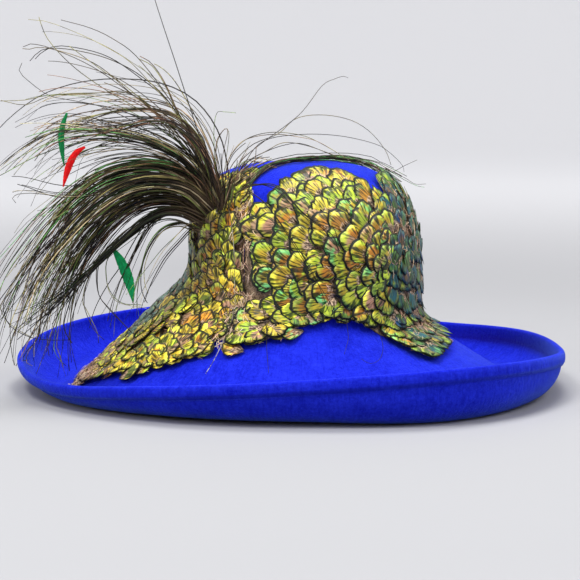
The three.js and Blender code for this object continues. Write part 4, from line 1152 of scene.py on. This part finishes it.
# Herls placed one by one, by photo pixel. depth is how far behind the crown's axis the herl
# runs at its first and last point; onFelt ones lie on the felt or the feathers. Where there is
# more than one, stray is how far the others part at the end; pale and dark set a colour.
strands = {
    "quill": {"points": [(222, 212), (216, 190), (207, 160), (197, 129), (186, 95), (174, 58),
                         (164, 28), (155, 0), (150, -16)],
              "depth": (-0.072, -0.075), "radius": 0.00042, "herls": 1, "dark": 1},
    "highArc": {"points": [(236, 175), (242, 160), (262, 143), (299, 115), (322, 86), (335, 79),
                           (343, 76.5), (348, 78)],
                "depth": (-0.060, -0.010), "radius": 0.00030, "herls": 1},
    "longArc": {"points": [(228, 180), (232, 165), (252, 145), (278, 134), (296, 118.6), (322, 115),
                           (350, 120),
                           (370, 132), (385, 150), (391, 165)],
                "depth": (-0.060, 0.010), "radius": 0.00034, "herls": 1},
    "wideArc": {"points": [(240, 170), (262, 142), (300, 134.6), (340, 136), (375, 144), (390, 153),
                           (402, 165), (404, 172)],
                "depth": (-0.055, 0.010), "radius": 0.00030, "herls": 1},
    "midArc": {"points": [(226, 172), (230, 157), (245, 140), (270, 132.5), (300, 135), (320, 143),
                          (349, 160)],
               "depth": (-0.060, 0.000), "radius": 0.00034, "herls": 2},
    "lowArc": {"points": [(240, 178), (248, 162), (265, 152), (285, 145), (303, 144), (332, 155)],
               "depth": (-0.060, -0.010), "radius": 0.00034, "herls": 2},
    "riseOne": {"points": [(222, 206), (205, 160), (174, 106), (138, 58), (113, 39), (90, 28), (61, 20)],
                "depth": (-0.076, -0.060), "radius": 0.00042, "herls": 1},
    "riseTwo": {"points": [(220, 206), (196, 165), (159, 123), (106, 90), (75, 68), (53, 46),
                           (44, 32), (39, 17)],
                "depth": (-0.076, -0.070), "radius": 0.00042, "herls": 1},
    "riseThree": {"points": [(220, 206), (200, 160), (172, 106), (141, 76), (106, 58), (66, 49),
                             (42, 50), (30, 61)],
                  "depth": (-0.076, -0.055), "radius": 0.00046, "herls": 2},
    "riseFour": {"points": [(219, 207), (198, 165), (159, 116), (124, 85), (106, 73), (69, 46)],
                 "depth": (-0.078, -0.065), "radius": 0.00042, "herls": 1},
    "riseFive": {"points": [(219, 207), (200, 165), (170, 125), (133, 95), (91, 66), (50, 48),
                            (30, 44), (23, 47)],
                 "depth": (-0.078, -0.080), "radius": 0.00042, "herls": 2},
    "riseSix": {"points": [(218, 207), (195, 170), (150, 132), (105, 108), (70, 100), (48, 95),
                           (25, 78), (19, 70), (22, 63)],
                "depth": (-0.078, -0.075), "radius": 0.00036, "herls": 1},
    "riseSeven": {"points": [(218, 207), (196, 165), (165, 125), (133, 95), (93, 93), (50, 95),
                             (25, 100), (0, 101)],
                  "depth": (-0.078, -0.065), "radius": 0.00040, "herls": 2},
    "riseEight": {"points": [(221, 206), (208, 165), (190, 130), (179, 116), (165, 85), (152, 66),
                             (139, 59)],
                  "depth": (-0.076, -0.060), "radius": 0.00050, "herls": 2},
    "curlOne": {"points": [(150, 205), (105, 225), (85, 262), (72, 296), (64, 322), (66, 334), (72, 343)],
                "depth": (-0.090, -0.100), "radius": 0.00060, "herls": 1, "dark": 1},
    "curlTwo": {"points": [(140, 200), (90, 225), (62, 262), (45, 300), (37, 337), (28, 352),
                           (26, 362), (32, 366)],
                "depth": (-0.090, -0.070), "radius": 0.00046, "herls": 2},
    "curlThree": {"points": [(150, 215), (120, 235), (100, 261), (98, 291), (107, 307), (132, 333)],
                  "depth": (-0.088, -0.100), "radius": 0.00040, "herls": 2},
    "curlFour": {"points": [(160, 218), (125, 240), (108, 258), (106, 276), (110, 291), (122, 303),
                            (142, 305)],
                 "depth": (-0.088, -0.090), "radius": 0.00038, "herls": 2},
    "curlFive": {"points": [(150, 220), (105, 250), (88, 280), (84, 300), (86, 313), (95, 331),
                            (104, 340)],
                 "depth": (-0.088, -0.110), "radius": 0.00042, "herls": 2},
    "curlSix": {"points": [(130, 195), (80, 215), (45, 250), (12, 290), (3, 305), (9, 325),
                           (29, 337), (49, 340), (69, 340)],
                "depth": (-0.086, -0.095), "radius": 0.00042, "herls": 1, "dark": 1},
    "curlSeven": {"points": [(140, 205), (90, 240), (66, 290), (54, 340), (57, 357), (66, 366)],
                  "depth": (-0.090, -0.090), "radius": 0.00044, "herls": 2},
    "curlEight": {"points": [(120, 190), (60, 215), (20, 255), (0, 290), (3, 316), (18, 330), (31, 337)],
                  "depth": (-0.086, -0.060), "radius": 0.00042, "herls": 1},
    "crownFan": {"points": [(224, 214), (229, 200), (238, 187), (250, 177), (264, 171)], "onFelt": 0.0095,
                 "radius": 0.00042, "herls": 10, "stray": 0.0045},
    "hook": {"points": [(218, 190), (215, 160), (214, 130), (217, 113), (225, 112), (236, 113)],
             "depth": (-0.070, -0.070), "radius": 0.00030, "herls": 1},
    "loop": {"points": [(220, 185), (216, 160), (218, 140), (225, 129), (229, 134), (226, 160),
                        (222, 185)],
             "depth": (-0.070, -0.066), "radius": 0.00030, "herls": 2},
    "topTail": {"points": [(385, 168), (392, 172), (404, 166),
                           (417, 160)], "depth": (-0.01, 0.0), "radius": 0.00025, "herls": 1},
    "farTail": {"points": [(380, 167), (392, 172), (405, 178), (415, 184),
                           (426, 184)], "depth": (-0.01, -0.01),
                "radius": 0.00025, "herls": 2},
    "frontFall": {"points": [(232, 205), (236, 225), (238.5, 250), (239, 280),
                             (239, 310)], "onFelt": 0.0085,
                  "radius": 0.00034, "herls": 1, "pale": 1},
    "paleFall": {"points": [(236, 312), (233, 326), (226, 345), (216, 364),
                            (208.6, 378)], "onFelt": 0.0060,
                 "radius": 0.00040, "herls": 1, "pale": 1},
    "middleFall": {"points": [(262, 300), (264, 307), (267, 330), (268.5, 352),
                              (269, 376)], "onFelt": 0.0050,
                   "radius": 0.00032, "herls": 1, "dark": 1},
    "frontArc": {"points": [(240, 200), (257, 192.5), (280, 196), (305, 217.5), (328, 233.6), (337, 251)],
                 "onFelt": 0.0105, "radius": 0.00040, "herls": 4, "dark": 1, "stray": 0.0035},
    "frontDrop": {"points": [(250, 196), (270, 210), (294, 244), (315.7, 276),
                             (328, 312)], "onFelt": 0.0095,
                  "radius": 0.00034, "herls": 2, "dark": 1},
    "thinDrop": {"points": [(346, 312), (346, 320), (347, 340), (345, 350), (343, 358)], "onFelt": 0.0045,
                 "radius": 0.00028, "herls": 1, "dark": 1},
    "jLoop": {"points": [(374, 318), (378, 335), (382, 350), (379, 361), (373, 366), (366, 366),
                         (360, 362)],
              "onFelt": 0.0045, "radius": 0.00028, "herls": 1, "dark": 1},
}
gridDirection, gridStation = np.meshgrid(np.arange(170, 372, 0.5), np.linspace(0.1, 3.2, 420))
gridPoints = feltPoint(gridDirection, gridStation).reshape(-1, 3)
gridPixels = toPixels(gridPoints)


def onFelt(x, y, lift):
    # the nearest visible place of the felt's outside at each pixel, lifted off it
    pixels, away = gridPixels
    spots = []
    for px, py in zip(x, y):
        gap = np.hypot(pixels[:, 0] - px, pixels[:, 1] - py)
        near = np.where(gap < gap.min() + 1.2)[0]
        spots.append(gridPoints[near[away[near].argmin()]])
    return layOn(np.array(spots), np.full(len(spots), lift))


def makeStrands():
    # the first herl of a course keeps to its points, and the others part from it
    steps = 34
    paths, radii, pale, dark = [], [], [], []
    for look in strands.values():
        x, y = np.array(look["points"], float).T
        if "onFelt" in look:
            spots = onFelt(x, y, look["onFelt"])
        else:
            spots = atDepth(x, y, np.linspace(*look["depth"], len(x)))
        grow = np.linspace(0, look.get("stray", 0.0022), len(spots))[:, None]
        for herl in range(look["herls"]):
            path = curveThrough(spots + chance.normal(0, 1, (len(spots), 3)) * grow * (herl > 0), steps)
            if "onFelt" not in look:
                path[:, 2] = np.maximum(path[:, 2], feltClearance(path[None])[0])
            paths.append(path)
            radii.append(look["radius"] * np.linspace(1, 0.6, steps))
            pale.append("pale" in look)
            dark.append("dark" in look)
    tints = pickTints(len(paths), herlTints, herlWeights, 0.25)
    tints = np.where(np.array(pale)[:, None], (0.36, 0.34, 0.24), tints)
    tints = np.where(np.array(dark)[:, None], (0.014, 0.012, 0.008), tints)
    luck = chance.uniform(0, 60, len(paths))
    piece = tubes("looseHerls", np.array(paths), np.array(radii), 4, tints, luck)
    putOn(piece, herlMaterial("looseHerl", 0.7), "dark_herl")
    print("loose herls", len(paths))


makeStrands()
makeFrontPad()
makeLeftPad()
makeRightPad()


# The bundle over the crown: its course from above as shares of the crown's half sizes.
wisp = {
    "course": [(-0.50, -0.64), (-0.33, -0.46), (-0.14, -0.24), (0.08, -0.04), (0.32, 0.06), (0.58, 0.10),
               (0.78, 0.08)],
    "herls": 32, "spread": 0.0010, "drift": 0.00016, "lift": 0.0032, "radius": 0.00040, "steps": 40,
}


def makeWisp():
    # herls along one course, which drift apart and fan out at both ends
    across = np.array(wisp["course"]) * np.array([hat["crownWidth"] / 2, hat["crownLength"] / 2])
    direction = np.degrees(np.arctan2(across[:, 1], across[:, 0])) % 360
    share = np.hypot(across[:, 0], across[:, 1]) / section(direction)["crown"]
    station = np.arcsin(np.minimum(1, share) ** (hat["squareness"] / 2)) / (math.pi / 2)
    count, steps = wisp["herls"], wisp["steps"]
    middle = curveThrough(feltPoint(direction, station, wisp["lift"]), steps)
    stray = chance.normal(0, wisp["spread"], (count, 1, 3))
    stray = stray + np.cumsum(chance.normal(0, wisp["drift"], (count, steps, 3)), 1)
    fan = 1 + 1.6 * np.abs(np.linspace(-0.9, 1, steps)) ** 3
    paths = middle[None] + stray * fan[None, :, None]
    radii = np.broadcast_to(wisp["radius"] * np.linspace(1, 0.6, steps)[None], (count, steps))
    tints = pickTints(count, herlTints, herlWeights, 0.25)
    piece = tubes("crownWispHerls", paths, radii, 3, tints, chance.uniform(0, 60, count))
    putOn(piece, herlMaterial("wispHerl", 0.5), "dark_herl", "crown_wisp")
    print("wisp herls", count)


makeWisp()


# Dyed tips: each midrib by photo pixel.
dyedTips = {
    "greenTipUpper": {"rib": [(67, 113), (63, 124), (61, 137), (62, 151), (64, 166)], "width": 0.0048,
                      "colour": (0.004, 0.23, 0.06), "slot": "green_feather",
                      "node": "green_feather_tip_upper"},
    "redTip": {"rib": [(85, 147), (76, 153), (70, 163), (66, 175), (63, 187)], "width": 0.0056,
               "colour": (0.74, 0.003, 0.004), "slot": "red_feather",
               "node": "red_feather_tip"},
    "greenTipLower": {"rib": [(114, 250), (121, 262), (127, 276), (131, 290), (133, 302)], "width": 0.0085,
                      "colour": (0.003, 0.34, 0.09), "slot": "green_feather",
                      "node": "green_feather_tip_lower"},
}


def makeTip(name, look):
    # a leaf on a bent midrib: half width w sin(pi (0.1 + 0.86 t)), its two vanes folded a
    # little back from the midrib and slit at their edges
    depth = np.array(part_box(look["node"])).mean(0)[1] - axis[1]
    ribX, ribY = np.array(look["rib"], float).T
    steps, lanes = 40, 10
    rib = curveThrough(atDepth(ribX, ribY, np.full(len(ribX), depth)), steps + 1)
    tangent = np.gradient(rib, axis=0)
    tangent /= np.linalg.norm(tangent, axis=1, keepdims=True)
    wide = np.cross(tangent, np.array([0, -1.0, 0]))
    t = np.linspace(0, 1, steps + 1)
    half = look["width"] / 2 * np.sin(math.pi * (0.1 + 0.86 * t))
    slit = 1 - 0.10 * (np.sin(t * 70) > 0.6) * (t > 0.2)
    lane = np.linspace(-1, 1, lanes + 1)
    reach = (half * slit)[:, None] * lane[None, :]
    fold = 0.0009 * np.abs(lane)[None, :] * np.sin(math.pi * t)[:, None]
    front = rib[:, None, :] + wide[:, None, :] * reach[..., None] + np.array([0, 1.0, 0]) * fold[..., None]
    back = front + np.array([0, 0.0005, 0])
    faces = shellFaces(np.arange((steps + 1) * (lanes + 1)).reshape(steps + 1, lanes + 1))
    uvOne = np.stack(np.broadcast_arrays(lane[None, :], t[:, None]), -1).reshape(-1, 2)
    points = np.concatenate([front.reshape(-1, 3), back.reshape(-1, 3)])
    piece = makeMesh(name, points, faces, uvs=np.tile(uvOne, (2, 1)))
    material, tree = startMaterial(name + "Dye")
    across, along = uvWires(tree)
    off = abs(across)
    barbs = noise(tree, vectorOf(tree, off * 1.2, (along * 60.0) - (off * 9.0), 0.0), 1.0, 2.0, 0.6)
    deep = tuple(v * 0.45 for v in look["colour"])
    colour = mixColour(tree, smooth(tree, barbs, 0.35, 0.65), deep, look["colour"])
    colour = mixColour(tree, (1 - smooth(tree, off, 0.02, 0.09)) * 0.6, colour, deep)
    finishMaterial(tree, colour, {"Roughness": 0.6, "Specular IOR Level": 0.15}, bump=(barbs, 0.5, 0.0003))
    putOn(piece, material, look["slot"], look["node"])


for tipName, tipLook in dyedTips.items():
    makeTip(tipName, tipLook)
print("dyed tips", len(dyedTips))


# Stage: the floor's half width, the round turn at its edge and the wall's top, in metres, its
# colours near and far, and the room's own light.
stage = {
    "floor": 3.0, "curve": 1.2, "top": 3.2, "columns": 96, "near": (0.32, 0.32, 0.33),
    "far": (0.52, 0.52, 0.53), "glow": (0.33, 0.33, 0.34), "sky": (0.93, 0.94, 1.0, 1.0), "skyPower": 0.40,
}


def makeStage():
    # a round floor that curves up into a wall, open above, so every side has the same ground
    turn = np.linspace(0, math.pi / 2, 16)
    curveReach = stage["floor"] + stage["curve"] * np.sin(turn[1:])
    reach = np.concatenate([np.linspace(0.2, stage["floor"], 16), curveReach])
    height = np.concatenate([np.zeros(16), stage["curve"] * (1 - np.cos(turn[1:]))])
    reach, height = np.append(reach, reach[-1]), np.append(height, stage["top"])
    columns = stage["columns"]
    direction = np.arange(columns) * 360 / columns
    points = around(direction[:, None], reach[None, :], height[None, :] - 0.0002).reshape(-1, 3) - axis
    grid = np.arange(columns * len(reach)).reshape(columns, len(reach))
    beside = np.roll(grid, -1, 0)
    quads = np.stack([grid[:, :-1], grid[:, 1:], beside[:, 1:], beside[:, :-1]], -1).reshape(-1, 4)
    floor = makeMesh("paleFloor", points, quads.tolist() + [grid[:, 0].tolist()])
    material, tree = startMaterial("paleFloor")
    place = addNode(tree, "ShaderNodeTexCoord", {}, {}, "Object")
    away = addNode(tree, "ShaderNodeVectorMath", {"operation": "LENGTH"}, {0: place}, 1)
    far = smooth(tree, away, 0.6, 2.3)
    colour = mixColour(tree, far, stage["near"], stage["far"])
    finishMaterial(tree, colour, {"Roughness": 0.75, "Specular IOR Level": 0.25, "Emission Strength": 1.0,
                                  "Emission Color": mixColour(tree, far, (0.0, 0.0, 0.0), stage["glow"])})
    floor.data.materials.append(material)


def addLight(name, spot, size, power):
    # a square lamp at spot that faces the middle of the hat
    lamp = bpy.data.lights.new(name, "AREA")
    lamp.size, lamp.energy = size, power
    light = bpy.data.objects.new(name, lamp)
    bpy.context.collection.objects.link(light)
    back = np.array(spot) - np.array([0, 0, 0.09])
    back = back / np.linalg.norm(back)
    right = np.cross([0, 0, 1.0], back)
    right /= np.linalg.norm(right)
    light.matrix_world = placing(right, np.cross(back, right), back, spot)


def lightRoom():
    # the pale room itself gives some light from all sides
    world = bpy.data.worlds.new("softRoom")
    world.use_nodes = True
    background = world.node_tree.nodes["Background"]
    background.inputs["Color"].default_value = stage["sky"]
    background.inputs["Strength"].default_value = stage["skyPower"]
    bpy.context.scene.world = world


makeStage()
addLight("keyLight", (-0.7, -0.95, 2.0), 0.8, 40)
addLight("fillLight", (1.3, -0.9, 1.4), 1.0, 18)
addLight("topLight", (0.25, 0.3, 2.0), 0.9, 36)
addLight("leftLight", (-1.5, -0.9, 0.9), 0.9, 9)
lightRoom()
print("stage and light")
